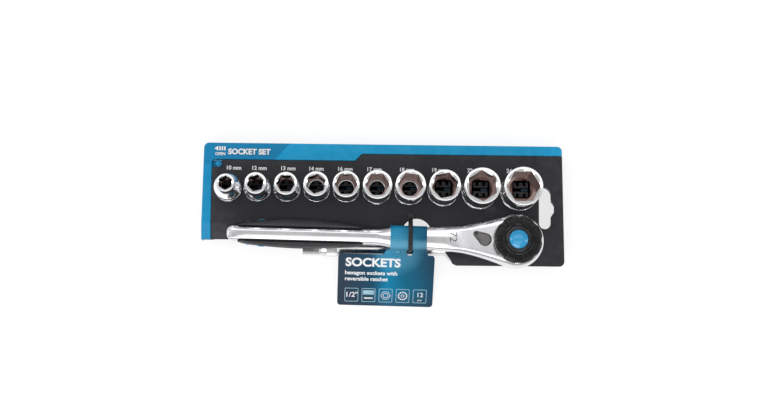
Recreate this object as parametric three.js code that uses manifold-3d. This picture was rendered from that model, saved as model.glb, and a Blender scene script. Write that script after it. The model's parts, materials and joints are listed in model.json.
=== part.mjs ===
// Half-inch drive socket set on a hanging holder: ten hex sockets on split posts, a blue locking
// slide, a reversible ratchet, an extension bar, a hang card and a cable tie.
// Millimetres. The holder lies on its back on z = 0, its face is up (+Z), its long side runs along X
// and its top edge is towards +Y. The origin is the middle of its back plane.
import * as THREE from "three";
import { mergeVertices } from "three/addons/utils/BufferGeometryUtils.js";
import Module from "manifold-3d";

const wasm = await Module();
wasm.setup();

// ---- driving dimensions ----

const gap = 0.3; // between pieces that rest on or pass through each other
const wall = 2.2; // moulded plastic wall
const overhang = 2.9; // the face stands out this far past the walls round its openings
const tuck = 2; // and this far past the lower wall of the right tab

// Holder
const holder = { height: 101, topWidth: 299.6, bottomWidth: 302.8, depth: 25, corner: 4 };
const border = { left: 7.8, topLeft: 14.3, topRight: 8.4, stepX: -23.5, stepRun: 5.6 }; // blue frame
const ledgeDrop = 4; // the ledge under the blue frame lies this far below the face
const lip = { creaseY: -17.2, edgeY: -30.1, drop: 5 }; // the face bends back under the handle
const notch = { x: 28.1, y: -24.2, radius: 12.5 }; // finger notch behind the neck
const tab = { topX: 41.7, bottomX: 59.6, round: 5 }; // slanted edge of the lower right tab
const hangSlot = { x: 135.2, y: -1.8, width: 9.8, length: 35, bulge: 2.8, bulgeLength: 15 };
const backRibWidth = 2;
const recess = { radius: 9.8, wall: 2, depth: 17.5 }; // round well for the ratchet's square

// Sockets: size across flats, drive end, nose, turn of the hexagon in degrees
const sockets = [
  { size: 10, drive: 22, nose: 15, turn: 30 },
  { size: 12, drive: 22, nose: 18, turn: 12 },
  { size: 13, drive: 22, nose: 19, turn: 0 },
  { size: 14, drive: 22, nose: 20.6, turn: 20 },
  { size: 16, drive: 22, nose: 22, turn: 8 },
  { size: 17, drive: 24, nose: 24, turn: 24 },
  { size: 18, drive: 25, nose: 25, turn: 15 },
  { size: 19, drive: 26, nose: 26, turn: 4 },
  { size: 22, drive: 30, nose: 30, turn: 30 },
  { size: 24, drive: 32, nose: 32, turn: 0 },
];
const socketHeight = 38;
const socketRowY = 11.5;
const firstSocketX = -128.9;
const socketSpacing = 2.5; // clear space between neighbours
const hexPlay = 0.25; // the hexagon is this much wider than the nut
const squareDepth = 16;

// Half-inch square drive
const driveSquare = 12.6;
const squareCorner = 7.9; // radius to which the corners of a drive square are turned
const squareHole = 12.9;
const post = { width: 12.3, height: 14, slit: 2.8, groove: 2.2, grooveX: 2.8, stripEdge: 2.5, strip: 2 };

// Locking slide
const slide = { skin: 1.6, plate: 3, skirtDrop: 17, travel: 6, bar: 4, barWidth: 10, blade: 2.2 };
const lockButton = { x: -137.5, y: 33.1, radius: 2.75, travel: 2, stem: 1.3, arm: 2.6 };

// Ratchet, in its own frame: the drive axis is z, the handle runs towards -x
const ratchet = { x: 110.5, y: -30.9, lean: -1.0, length: 239, headRadius: 22, headHeight: 18 };
const core = { half: 6.2, low: 4.5, high: 17 }; // handle core
const neckHalf = 9.1;
const grip = { start: -230, end: -127, low: 2.6, high: 18.6, lowerShare: 0.62 };
const inlay = { low: 9.4, high: 12, depth: 1.8, proud: 0.4 };
const gear = { teeth: 72, tip: 14.3, root: 13.5, low: 3, high: 13.2, shaft: 8.9, top: 23.2, bore: 5.2,
  boreFloor: 17.5 };
const squareLength = 14.5; // the drive square below the head
const plate = { thickness: 2, rim: 1.8 }; // back plate of the head
const screw = { radius: 1.2, head: 2.1, length: 8, ring: 17.9 };
const lever = { x: -26.8, radius: 4.8, shaft: 3, rest: 149, tail: 10.5, height: 3 };
const pawl = { width: 16, back: 21.3, rest: 4 };
const wheel = { radius: 20, low: 19.6, high: 29, scallops: 8 };
const button = { radius: 7.6, low: 26.2, high: 31, travel: 2.5 };
const pin = { radius: 2.6, waist: 1.8, tip: -10.2, flange: 4.6, flangeZ: 22.6, hole: 2.9 };
const plunger = { z: 9, radius: 1.2, bore: 1.5, nose: 4.9 };
const ballRadius = 2;
const ballProud = 0.8;
const ballZ = -8; // height of the ball in the drive square

// Extension bar
const bar = { length: 150, tipX: -66.8, y: -35.4, z: 11.7, square: 14.8, collar: 7.2, collarEnd: 33.5,
  shaft: 6.2, female: 10.5, femaleLength: 27 };
const ballFloor = 2.5; // metal left behind the bar's detent ball
const clip = { x: 8, width: 8, wall: 1.8, mouth: 9 };

// Hang card and cable tie, in the ratchet's frame
const card = { left: -147, right: -67, thickness: 0.7, foot: -50.5, footZ: -23.6, topZ: 7, corner: 2.6 };
const strap = { left: -104, right: -74.5, play: 0.5, back: 6 };
const tie = { x: -90, width: 3.4, thickness: 1.2, far: 17.5, play: 0.4 };

// ---- shaping helpers ----

const origin = [0, 0, 0];

// A closed geometry as a solid, moved.
function solid(geometry, move = origin) {
  const plain = new THREE.BufferGeometry();
  const source = geometry.index ? geometry.toNonIndexed() : geometry;
  plain.setAttribute("position", source.getAttribute("position"));
  plain.translate(...move);
  const merged = mergeVertices(plain, 1e-4);
  return new wasm.Manifold(
    new wasm.Mesh({
      numProp: 3,
      vertProperties: merged.attributes.position.array,
      triVerts: new Uint32Array(merged.index.array),
    }),
  );
}

function box([x0, y0, z0], [x1, y1, z1]) {
  const shape = new THREE.BoxGeometry(x1 - x0, y1 - y0, z1 - z0);
  return solid(shape, [(x0 + x1) / 2, (y0 + y1) / 2, (z0 + z1) / 2]);
}

// A revolved solid about z from [radius, height] points that start and end on the axis.
function turned(profile, segments = 32, move = origin) {
  const points = profile.map(([r, z]) => new THREE.Vector2(r, z));
  return solid(new THREE.LatheGeometry(points, segments).rotateX(Math.PI / 2), move);
}

function rod(radius, low, high, segments = 24, move = origin) {
  return turned([[0, low], [radius, low], [radius, high], [0, high]], segments, move);
}

function ring(inner, outer, low, high, segments = 32, move = origin) {
  return rod(outer, low, high, segments, move).subtract(rod(inner, low - 1, high + 1, segments, move));
}

// A prism on a plan outline, with an optional bevel inside its outline and height.
function prism(points, low, high, bevel = 0, steps = 1) {
  const shape = new THREE.Shape(points.map(([x, y]) => new THREE.Vector2(x, y)));
  const options = { depth: high - low - 2 * bevel, bevelEnabled: bevel > 0, bevelSize: bevel,
    bevelThickness: bevel, bevelOffset: -bevel, bevelSegments: steps, steps: 1, curveSegments: 8 };
  return solid(new THREE.ExtrudeGeometry(shape, options), [0, 0, low + bevel]);
}

// A prism whose outline lies in the y-z plane and which runs along x.
function sideways(points, x0, x1) {
  const shape = new THREE.Shape(points.map(([y, z]) => new THREE.Vector2(y, z)));
  const made = new THREE.ExtrudeGeometry(shape, { depth: x1 - x0, bevelEnabled: false });
  return solid(made.rotateX(Math.PI / 2).rotateZ(Math.PI / 2), [x0, 0, 0]);
}

// Points of an arc about (x, y), from one angle to another, in degrees.
function arc(x, y, radius, from, to, steps) {
  return Array.from({ length: steps + 1 }, (_, i) => {
    const angle = THREE.MathUtils.degToRad(from + ((to - from) * i) / steps);
    return [x + radius * Math.cos(angle), y + radius * Math.sin(angle)];
  });
}

// The outline with each edge moved inwards; corners run anticlockwise.
function inset(points, by) {
  const edges = points.map(([x, y], i) => {
    const [nx, ny] = points[(i + 1) % points.length];
    const length = Math.hypot(nx - x, ny - y);
    const [ux, uy] = [(nx - x) / length, (ny - y) / length];
    return { x: x - uy * by, y: y + ux * by, ux, uy };
  });
  return edges.map((b, i) => {
    const a = edges[(i + edges.length - 1) % edges.length];
    const cross = a.ux * b.uy - a.uy * b.ux;
    if (Math.abs(cross) < 1e-6) return [b.x, b.y];
    const t = ((b.x - a.x) * b.uy - (b.y - a.y) * b.ux) / cross;
    return [a.x + a.ux * t, a.y + a.uy * t];
  });
}

// A smooth curve through a few [x, y] points.
function smooth(points, divisions) {
  const curve = new THREE.SplineCurve(points.map(([x, y]) => new THREE.Vector2(x, y)));
  return curve.getPoints(divisions).map((p) => [p.x, p.y]);
}

// A round wire wound about z between two heights.
function coil(radius, wire, low, high, turns) {
  const path = new THREE.Curve();
  path.getPoint = (t, out = new THREE.Vector3()) => {
    const angle = 2 * Math.PI * turns * t;
    const z = low + wire + (high - low - 2 * wire) * t;
    return out.set(radius * Math.cos(angle), radius * Math.sin(angle), z);
  };
  const section = new THREE.Shape(arc(0, 0, wire, 0, 270, 3).map(([x, y]) => new THREE.Vector2(x, y)));
  const options = { extrudePath: path, steps: 9 * turns, bevelEnabled: false };
  return solid(new THREE.ExtrudeGeometry(section, options));
}

function hexagon(acrossFlats, turn) {
  return arc(0, 0, acrossFlats / Math.sqrt(3), turn, turn + 300, 5);
}

function square(width) {
  const h = width / 2;
  return [[-h, -h], [h, -h], [h, h], [-h, h]];
}

const root = new THREE.Group();

function add(group, name, shape, colour, roughness, metalness = 0) {
  const mesh = shape.getMesh();
  const geometry = new THREE.BufferGeometry();
  geometry.setAttribute("position", new THREE.BufferAttribute(mesh.vertProperties, 3));
  geometry.setIndex(new THREE.BufferAttribute(mesh.triVerts, 1));
  geometry.computeVertexNormals();
  const material = new THREE.MeshStandardMaterial({ color: colour, roughness, metalness });
  const made = new THREE.Mesh(geometry, material);
  made.name = name;
  group.add(made);
}

const black = 0x16171a;
const blue = 0x1180b4;
const chrome = 0xd8d8da;
const steel = 0x9a9a9c;

// ---- holder outlines ----

const top = holder.height / 2;
const bottom = -top;
const faceZ = holder.depth;
const ledgeZ = faceZ - ledgeDrop;
const ceilingZ = faceZ - wall;
const setback = slide.skin + gap; // the panel's left and top sides stand this far inside the blue skirt
const wallY = bar.y + bar.female + gap + 0.2; // the lower wall stands just behind the bar
const far = 400; // past every edge of the object

// Half width of the holder at a height y: its sides lean a little.
function halfWidth(y) {
  const share = (top - y) / holder.height;
  return (holder.topWidth + (holder.bottomWidth - holder.topWidth) * share) / 2;
}

// Where the slanted edge of the lower right tab is at a height y.
function tabEdge(y) {
  return tab.topX + ((tab.bottomX - tab.topX) * (notch.y - y)) / (notch.y - bottom);
}

// Plan outline, anticlockwise from the lower left, with its lower left edge at lowerY, its left and
// top sides moved in by back, its right side moved out by wider and its tab's lower sides moved in.
function holderOutline(lowerY, back, wider = 0, tabIn = 0) {
  const c = holder.corner;
  const foot = bottom + tabIn;
  const leftX = (y) => -halfWidth(y) + back;
  const upper = top - back;
  const slantX = tabEdge(bottom + tab.round) + tabIn;
  return [
    [leftX(lowerY), lowerY],
    [notch.x - notch.radius, lowerY],
    [notch.x - notch.radius, notch.y],
    [tab.topX + tabIn, notch.y],
    [slantX, foot + tab.round],
    [slantX + tab.round * 0.36, foot + tab.round * 0.3],
    [slantX + tab.round, foot],
    ...arc(halfWidth(bottom) - c + wider, foot + c, c, 270, 360, 4),
    ...arc(halfWidth(upper) - c + wider, upper - c, c, 0, 90, 4),
    ...arc(leftX(upper) + c, upper - c, c, 90, 180, 4),
  ];
}

// Plan outline of the black face inside the blue frame, moved in by back.
function faceOutline(back) {
  const edge = -halfWidth(0) + border.left + back;
  const low = top - border.topLeft - back;
  const high = top - border.topRight - back;
  const corner = 2.5;
  return [
    [edge, -far],
    [far, -far],
    [far, high],
    [border.stepX + border.stepRun, high],
    [border.stepX, low],
    ...arc(edge + corner, low - corner, corner, 90, 180, 3),
  ];
}

// Everything under the plane of the face lowered by some depth, with its bend at the lip.
function underFace(lower) {
  const slope = lip.drop / (lip.creaseY - lip.edgeY);
  const reach = 60;
  const flat = faceZ - lower;
  const bent = sideways(
    [[lip.creaseY - reach, -far], [far, -far], [far, flat], [lip.creaseY, flat],
      [lip.creaseY - reach, flat - slope * reach]],
    -far, notch.x,
  );
  return bent.add(box([notch.x, -far, -far], [far, far, flat]));
}

// ---- holder panel ----

const socketX = [firstSocketX];
for (let i = 1; i < sockets.length; i++)
  socketX.push(socketX[i - 1] + (sockets[i - 1].drive + sockets[i].drive) / 2 + socketSpacing);

// The ten split posts on one strip behind the face. Each is two comb-shaped halves with the
// locking blade's slit between them.
function postStrip() {
  const half = post.width / 2;
  const topZ = faceZ + post.height;
  const stripTop = ceilingZ - gap;
  const stripLow = stripTop - post.strip;
  const edge = half + post.stripEdge;
  const [first, last] = [socketX[0] - edge, socketX[socketX.length - 1] + edge];
  const spine = post.slit / 2 + 1.7;
  const [slitNear, slitFar] = [socketRowY - post.slit / 2, socketRowY + post.slit / 2];
  let made = box([first, socketRowY - edge, stripLow], [last, socketRowY + edge, stripTop]);
  for (const x of socketX) {
    made = made.add(box([x - half, socketRowY - half, stripLow], [x + half, socketRowY + half, topZ]));
    for (const grooveX of [x - post.grooveX, x + post.grooveX])
      for (const [near, end] of [[spine, half + 1], [-half - 1, -spine]])
        made = made.subtract(
          box(
            [grooveX - post.groove / 2, socketRowY + near, faceZ + 3],
            [grooveX + post.groove / 2, socketRowY + end, topZ + 1],
          ),
        );
    made = made
      .subtract(box([x - half, slitNear, stripLow - 1], [x + half, slitFar, faceZ]))
      .subtract(box([x - half - 1, slitNear, faceZ], [x + half + 1, slitFar, topZ + 1]));
  }
  return made;
}

// The cup behind the face that takes the ratchet's square.
function driveCup() {
  const cupLow = faceZ - recess.depth;
  return rod(recess.radius + recess.wall, cupLow, faceZ - gap, 32, [ratchet.x, ratchet.y, 0]).subtract(
    rod(recess.radius, cupLow + wall, faceZ + 1, 32, [ratchet.x, ratchet.y, 0]),
  );
}

// Clip that snaps round the bar's shaft, open towards -y, on a foot from the lower wall.
function barClip() {
  const inner = bar.shaft + gap;
  const outer = inner + clip.wall;
  const open = THREE.MathUtils.radToDeg(Math.asin(clip.mouth / 2 / inner));
  const band = [
    ...arc(bar.y, bar.z, outer, open - 180, 180 - open, 16),
    ...arc(bar.y, bar.z, inner, 180 - open, open - 180, 16),
  ];
  const foot = box(
    [clip.x, bar.y + inner + clip.wall / 2, bar.z - 4],
    [clip.x + clip.width, wallY + wall / 2, bar.z + 4],
  );
  return sideways(band, clip.x, clip.x + clip.width).add(foot);
}

// Two ribs under the lower right tab, one on each side of the bar's thick end, and a stop.
function barPocket() {
  const inner = bar.female + gap;
  const start = tab.bottomX + 4;
  const end = bar.tipX + bar.length + gap;
  const low = bar.z - 5;
  const rib = (y) => box([start, y, low], [end + wall, y + wall, ceilingZ + wall / 2]);
  const stop = box([end, bar.y - inner, low], [end + wall, bar.y + inner, ceilingZ + wall / 2]);
  return rib(bar.y + inner).add(rib(bar.y - inner - wall)).add(stop);
}

// Stiffening rib along the middle of the back; its foot stands on the back plane.
function backRib() {
  const start = -halfWidth(0) + setback + wall / 2;
  const end = hangSlot.x - hangSlot.width / 2 - wall / 2;
  const inside = -halfWidth(0) + border.left + wall / 2;
  return box([start, -backRibWidth / 2, 0], [end, backRibWidth / 2, ledgeZ - wall / 2]).add(
    box([inside, -backRibWidth / 2, 0], [end, backRibWidth / 2, ceilingZ + wall / 2]),
  );
}

// The keyhole for a shop hook: a tall slot with a wider middle on one side.
function hangCut() {
  const r = hangSlot.width / 2;
  const up = hangSlot.y + hangSlot.length / 2 - r;
  const down = hangSlot.y - hangSlot.length / 2 + r;
  const side = hangSlot.x + r;
  const outline = [
    ...arc(hangSlot.x, down, r, 180, 360, 12),
    [side, hangSlot.y - hangSlot.bulgeLength / 2],
    [side + hangSlot.bulge, hangSlot.y - hangSlot.bulgeLength / 2 + hangSlot.bulge * 1.5],
    [side + hangSlot.bulge, hangSlot.y + hangSlot.bulgeLength / 2 - hangSlot.bulge * 1.5],
    [side, hangSlot.y + hangSlot.bulgeLength / 2],
    ...arc(hangSlot.x, up, r, 0, 180, 12),
  ];
  return outline;
}

function holderPanel() {
  const below = underFace(0)
    .intersect(prism(faceOutline(0), -1, faceZ + 1))
    .add(underFace(ledgeDrop).intersect(prism(faceOutline(-far), -1, faceZ)))
    .intersect(prism(holderOutline(lip.edgeY, setback), 0, faceZ + 1));
  const hollow = underFace(wall)
    .intersect(prism(faceOutline(wall), -2, faceZ + 1))
    .add(underFace(ledgeDrop + wall).intersect(prism(faceOutline(-far), -2, faceZ)));
  const skirtPlan = holderOutline(wallY, setback, 0, tuck);
  const notchRod = (radius) => rod(radius, -2, faceZ + 2, 40, [notch.x, notch.y, 0]);
  const notchWall = notchRod(notch.radius + overhang + wall);
  const skirt = prism(skirtPlan, -1, faceZ + 1)
    .subtract(prism(inset(skirtPlan, wall), -2, faceZ + 2))
    .add(notchWall.intersect(box([-far, wallY, -1], [far, far, faceZ + 1])))
    .intersect(below);
  const cupHole = rod(recess.radius + recess.wall + gap, 0, faceZ + 1, 32, [ratchet.x, ratchet.y, 0]);
  const slotPrism = (outwards) => prism(inset(hangCut(), -outwards), 0, ceilingZ);
  const slotLining = slotPrism(overhang + wall);
  let made = below.subtract(hollow).add(skirt).add(slotLining).add(backRib());
  made = made.add(barClip()).add(barPocket());
  // finger notch, hook slot, the cup's hole, and the way in for the bar's thick end
  made = made
    .subtract(notchRod(notch.radius))
    .subtract(notchRod(notch.radius + overhang).intersect(underFace(wall)))
    .subtract(slotPrism(overhang))
    .subtract(box([notch.x - notch.radius, bottom - 1, -2], [tab.topX, notch.y, faceZ + 2]))
    .subtract(prism(hangCut(), -2, faceZ + 2))
    .subtract(cupHole)
    .subtract(
      box([tab.topX - 6, bar.y - bar.female - gap, -2], [tab.bottomX + 4, wallY, ceilingZ]),
    );
  // a square hole for each post
  const reach = post.width / 2 + gap;
  for (const x of socketX)
    made = made.subtract(
      box([x - reach, socketRowY - reach, ceilingZ - 1], [x + reach, socketRowY + reach, faceZ + 1]),
    );
  // window in the left wall for the slide's bar, and the notch for its lock button
  const windowTop = ledgeZ - wall - gap;
  const windowLow = windowTop - slide.bar - 2 * gap;
  const halfBar = slide.barWidth / 2 + gap;
  const halfNotch = lockButton.radius + 2 * gap;
  const window = box(
    [-far, socketRowY - halfBar, windowLow],
    [-halfWidth(0) + 6, socketRowY + halfBar, windowTop],
  );
  const buttonNotch = box(
    [-far, lockButton.y - halfNotch, ledgeZ - lockButton.arm - 3 * gap],
    [lockButton.x + halfNotch, lockButton.y + halfNotch, faceZ + 1],
  );
  return made.subtract(window).subtract(buttonNotch);
}

add(root, "holder_panel", holderPanel(), black, 0.6);
add(root, "post_strip", postStrip(), black, 0.6);
add(root, "drive_cup", driveCup(), black, 0.6);

// ---- locking slide and its button ----

function lockSlide() {
  const plateTop = ledgeDrop - gap - slide.plate; // below the face
  const plan = prism(holderOutline(lip.edgeY, 0), -1, faceZ + 1);
  const frameOnly = prism(faceOutline(-gap), -2, faceZ + 2);
  const sheet = underFace(plateTop)
    .subtract(underFace(ledgeDrop - gap))
    .intersect(plan)
    .subtract(frameOnly);
  const skirt = plan
    .subtract(prism(holderOutline(lip.edgeY - 1, slide.skin, holder.corner), -2, faceZ + 2))
    .intersect(underFace(plateTop))
    .intersect(box([-far, lip.edgeY, faceZ - plateTop - slide.skirtDrop], [far, far, faceZ]));
  const root = -halfWidth(0) + slide.skin / 2; // the button's arm grows out of the skirt
  const armTop = ledgeZ - gap;
  const armLow = armTop - lockButton.arm;
  const [near, away] = [lockButton.y - lockButton.radius - gap, lockButton.y + lockButton.radius + gap];
  const inner = -halfWidth(0) + border.left - gap;
  return sheet
    .add(skirt)
    .add(box([root, near, armLow], [lockButton.x + lockButton.radius + gap, away, armTop]))
    .add(box([root, near, armLow], [inner, away, ledgeZ + 1]))
    .subtract(rod(lockButton.stem + gap, 0, armTop + 1, 16, [lockButton.x, lockButton.y, 0]));
}

// The bar behind the posts that the slide carries, with a blade for every post.
function lockBar() {
  const barTop = ledgeZ - wall - 2 * gap;
  const half = slide.barWidth / 2;
  const start = -halfWidth(socketRowY + half) + slide.skin + gap;
  const end = socketX[socketX.length - 1] + post.width / 2;
  const lean = slide.blade / 2;
  let made = box([start, socketRowY - half, barTop - slide.bar], [end, socketRowY + half, barTop]);
  for (const x of socketX)
    made = made.add(
      box(
        [x + gap, socketRowY - lean, barTop - 1],
        [x + post.width / 2 - gap, socketRowY + lean, faceZ + post.height - 2],
      ),
    );
  return made;
}

function lockButtonShape() {
  const r = lockButton.radius;
  const under = ledgeZ + lockButton.travel;
  const armLow = ledgeZ - gap - lockButton.arm;
  const foot = lockButton.stem + 0.8;
  return turned(
    [[0, armLow - 2], [foot, armLow - 2], [foot, armLow - gap], [lockButton.stem, armLow - gap],
      [lockButton.stem, under], [r, under], [r, under + 2], [r * 0.8, under + 2.8], [r * 0.4, under + 3.2],
      [0, under + 3.3]],
    20,
    [lockButton.x, lockButton.y, 0],
  );
}

add(root, "lock_slide", lockSlide(), blue, 0.45);
add(root, "lock_bar", lockBar(), blue, 0.45);
add(root, "lock_button", lockButtonShape(), blue, 0.4);
const springFoot = ledgeZ - gap + 0.1;
const buttonSpring = coil(lockButton.stem + 0.8, 0.25, springFoot, ledgeZ + lockButton.travel - 0.1, 3);
add(root, "lock_button_spring", buttonSpring.translate([lockButton.x, lockButton.y, 0]), steel, 0.3, 1);

// ---- sockets ----

// A hex socket standing on its drive end at z = 0.
function socket({ size, drive, nose, turn }) {
  const h = socketHeight;
  const d = drive / 2;
  const n = nose / 2;
  const shoulder = h * 0.42;
  const taper = (d - n) * 1.1 + 0.5;
  const outside = [
    [0, 0], [d - 1, 0], [d, 1], [d, shoulder], [n, shoulder + taper], [n, h - 1], [n - 1, h], [0, h],
  ];
  const around = 24;
  const floor = squareDepth + 2;
  const hex = size + hexPlay;
  const mouth = hex / Math.sqrt(3);
  const flare = Math.min(mouth + 0.4, n - 1.1);
  let made = turned(outside, around)
    .subtract(prism(square(squareHole), -1, squareDepth))
    .subtract(prism(hexagon(hex, turn), floor, h + 1))
    .subtract(turned([[0, h - 1], [flare - 1, h - 1], [flare, h + 0.01], [0, h + 0.01]], around));
  made = size > 18
    ? made.subtract(prism(square(squareHole), squareDepth - 1, floor + 1))
    : made.subtract(rod(Math.min(5.6, size / 2 - 0.6), squareDepth - 1, floor + 1, 16));
  return made;
}

sockets.forEach((each, i) => {
  const name = "socket_" + each.size + "mm";
  add(root, name, socket(each).translate([socketX[i], socketRowY, faceZ + gap]), chrome, 0.12, 1);
});

// ---- ratchet ----

const wrench = new THREE.Group();
wrench.position.set(ratchet.x, ratchet.y, faceZ + gap);
wrench.rotation.z = THREE.MathUtils.degToRad(ratchet.lean);
root.add(wrench);

// Mirrors the upper half of an outline, given from right to left, to its lower half.
function mirrored(upper) {
  return [...upper, ...upper.map(([x, y]) => [x, -y]).reverse()];
}

function headOutline(by) {
  const r = ratchet.headRadius - by;
  return mirrored([
    ...arc(0, 0, r, 4, 120, 14),
    [-24, 16.1 - by],
    [-37, 13 - by],
    [-46 + by, 11.4 - by],
  ]);
}

function ratchetBody() {
  const end = ratchet.length;
  const r = core.half - 0.3;
  const plan = mirrored([
    [-10, 15.5], [-24, 15], [-37, 12.6], [-50, 10.6], [-72, neckHalf], [-100, neckHalf], [-110, 8.6],
    [grip.end + 4, core.half], [-end + r, core.half], ...arc(-end + r, 0, r, 90, 165, 5),
  ]);
  const chamber = plate.thickness + gap;
  const pocket = [[-31.5, -5], [-23.4, -12.4], [-8, -12.4], [-8, 12.4], [-23.4, 12.4], [-31.5, 5]];
  let made = prism(headOutline(0), 0, ratchet.headHeight, 1.2)
    .add(prism(plan, core.low, core.high, 2, 2))
    .subtract(rod(gear.tip + 2 * gap, -1, gear.high + gap, 32))
    .subtract(rod(gear.shaft + gap, gear.high, ratchet.headHeight + 1, 32))
    .subtract(prism(pocket, -1, gear.high + gap))
    .subtract(prism(headOutline(plate.rim), -1, chamber))
    .subtract(rod(lever.shaft + gap, gear.high, ratchet.headHeight + 1, 24, [lever.x, 0, 0]));
  for (const [x, y] of screwPlaces())
    made = made.subtract(rod(screw.radius + gap, 0, screw.length + gap, 12, [x, y, 0]));
  return made;
}

function screwPlaces() {
  return [0, 112, -112].map((angle) => arc(0, 0, screw.ring, angle, angle, 1)[0]);
}

function backPlate() {
  let made = prism(headOutline(plate.rim + gap), 0, plate.thickness).subtract(
    rod(gear.shaft + gap, -1, plate.thickness + 1, 32),
  );
  for (const [x, y] of screwPlaces())
    made = made
      .subtract(rod(screw.radius + gap, -1, 3, 12, [x, y, 0]))
      .subtract(rod(screw.head + gap, -1, 1.2, 16, [x, y, 0]));
  return made;
}

function driveGear() {
  const outline = Array.from({ length: 2 * gear.teeth }, (_, i) => {
    const angle = (Math.PI * i) / gear.teeth;
    const r = i % 2 ? gear.root : gear.tip;
    return [r * Math.cos(angle), r * Math.sin(angle)];
  });
  const ballHole = rod(ballRadius + gap, 0, 9, 16);
  return prism(outline, gear.low, gear.high)
    .add(rod(gear.shaft, 0, gear.top, 32))
    .add(prism(square(driveSquare), -squareLength, 1).intersect(rod(squareCorner, -far, far, 32)))
    .subtract(rod(pin.hole, -squareLength + 1.5, gear.top + 1, 24))
    .subtract(rod(gear.bore, gear.boreFloor, gear.top + 1, 24))
    .subtract(ring(gear.shaft - 0.8, gear.shaft + 1, ratchet.headHeight + 0.2, ratchet.headHeight + 1.3))
    .subtract(ballHole.rotate([0, 90, 0]).translate([0, 0, ballZ]));
}

function thumbWheel() {
  const steps = 64;
  const outline = Array.from({ length: steps }, (_, i) => {
    const angle = (2 * Math.PI * i) / steps;
    const wave = Math.cos(wheel.scallops * angle);
    const r = wheel.radius - 1.1 * Math.max(0, wave - 0.35);
    return [r * Math.cos(angle), r * Math.sin(angle)];
  });
  return prism(outline, wheel.low, wheel.high, 1.4)
    .subtract(rod(gear.shaft + gap, wheel.low - 1, gear.top + gap, 32))
    .subtract(rod(button.radius + 1.3, gear.top, button.low + 1 + gap, 32))
    .subtract(rod(button.radius + gap, gear.top, wheel.high + 1, 32));
}

function releaseButton() {
  const r = button.radius;
  return turned(
    [[0, button.low], [r + 1, button.low], [r + 1, button.low + 1], [r, button.low + 1],
      [r, wheel.high + 0.4], [r * 0.86, button.high - 0.8], [r * 0.5, button.high - 0.15], [0, button.high]],
    32,
  );
}

function releasePin() {
  const waist = ballZ + button.travel;
  const half = 1.7;
  const seat = button.low - gap;
  return turned(
    [[0, pin.tip], [pin.radius, pin.tip], [pin.radius, waist - half], [pin.waist, waist - half + 0.5],
      [pin.waist, waist + half - 0.5], [pin.radius, waist + half], [pin.radius, pin.flangeZ],
      [pin.flange, pin.flangeZ], [pin.flange, pin.flangeZ + 1], [pin.radius, pin.flangeZ + 1],
      [pin.radius, seat], [0, seat]],
    20,
  );
}

function reverseLever() {
  const { x, radius, shaft, rest, tail, height } = lever;
  const low = ratchet.headHeight + gap;
  const tipRadius = 1.9;
  const reach = tail - tipRadius;
  const grasp = [
    ...arc(0, 0, radius, 60, 300, 16),
    ...arc(reach, 0, tipRadius, -70, 70, 8),
  ];
  return prism(grasp, low, low + height, 0.6)
    .add(rod(shaft, 5, low + 1, 24))
    .subtract(rod(plunger.bore, -2.6, 9, 12).rotate([0, -90, 0]).translate([0, 0, plunger.z]))
    .rotate([0, 0, rest])
    .translate([x, 0, 0]);
}

function pawlShape() {
  const reach = THREE.MathUtils.radToDeg(Math.asin(pawl.width / 2 / (gear.tip + gap)));
  const steps = 26;
  const teeth = arc(0, 0, 1, 180 + reach, 180 - reach, steps).map(([x, y], i) => {
    const r = gear.tip + gap + (i % 2 ? 0.7 : 0);
    return [x * r, y * r];
  });
  const half = pawl.width / 2;
  return prism([...teeth, [-pawl.back, half], [-pawl.back, -half]], gear.low + 0.2, gear.high - 0.2);
}

// One side of the handle's grip: a long lens beside the core.
const gripEdge = smooth(
  [[grip.start, 8.4], [-222, 9.9], [-205, 12.2], [-180, 13.7], [-152, 12], [-136, 9.9], [grip.end, 8.4]],
  18,
);

// The lower half is slimmer than the upper one.
const gripInner = core.half + gap;
const gripShare = (side) => (side > 0 ? 1 : grip.lowerShare);
const gripSide = (side) => gripEdge.map(([x, y]) => [x, gripInner + (y - gripInner) * gripShare(side)]);

function gripHalf(side) {
  const outline = [...gripSide(side), [grip.end, gripInner], [grip.start, gripInner]];
  const placed = outline.map(([x, y]) => [x, side * y]);
  return prism(placed, grip.low, grip.high, 0.6).subtract(inlayStrip(side, gap, inlay.depth + 3));
}

// The blue line along the middle of a grip's side; extra widens it for the groove it lies in.
function inlayStrip(side, extra, outward = inlay.proud) {
  const edge = gripSide(side);
  const inside = edge.map(([x, y]) => [x, y - inlay.depth * gripShare(side) - extra]);
  const outside = edge.map(([x, y]) => [x, y + outward]).reverse();
  const trim = extra ? 0 : 1;
  const kept = (line) => line.slice(trim, line.length - trim);
  const outline = [...kept(inside), ...kept(outside)].map(([x, y]) => [x, side * y]);
  return prism(outline, inlay.low - extra, inlay.high + extra);
}

add(wrench, "ratchet_body", ratchetBody(), chrome, 0.15, 1);
add(wrench, "back_plate", backPlate(), chrome, 0.3, 1);
screwPlaces().forEach(([x, y], i) => {
  const made = rod(screw.head, 0.1, 0.9, 16).add(rod(screw.radius, 0.5, screw.length, 12));
  add(wrench, "plate_screw_" + (i + 1), made.translate([x, y, 0]), steel, 0.3, 1);
});
add(wrench, "drive_gear", driveGear(), steel, 0.3, 1);
add(wrench, "thumb_wheel", thumbWheel(), black, 0.5);
const openRing = ring(gear.shaft - 0.5, gear.shaft + 2, ratchet.headHeight + 0.4, ratchet.headHeight + 1.1)
  .subtract(box([0, -1.5, 0], [20, 1.5, 30]));
add(wrench, "retaining_ring", openRing, steel, 0.3, 1);
add(wrench, "release_button", releaseButton(), blue, 0.3);
add(wrench, "release_pin", releasePin(), steel, 0.3, 1);
add(wrench, "release_spring", coil(3.9, 0.55, gear.boreFloor + 0.2, pin.flangeZ - 0.2, 4), steel, 0.3, 1);
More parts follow.
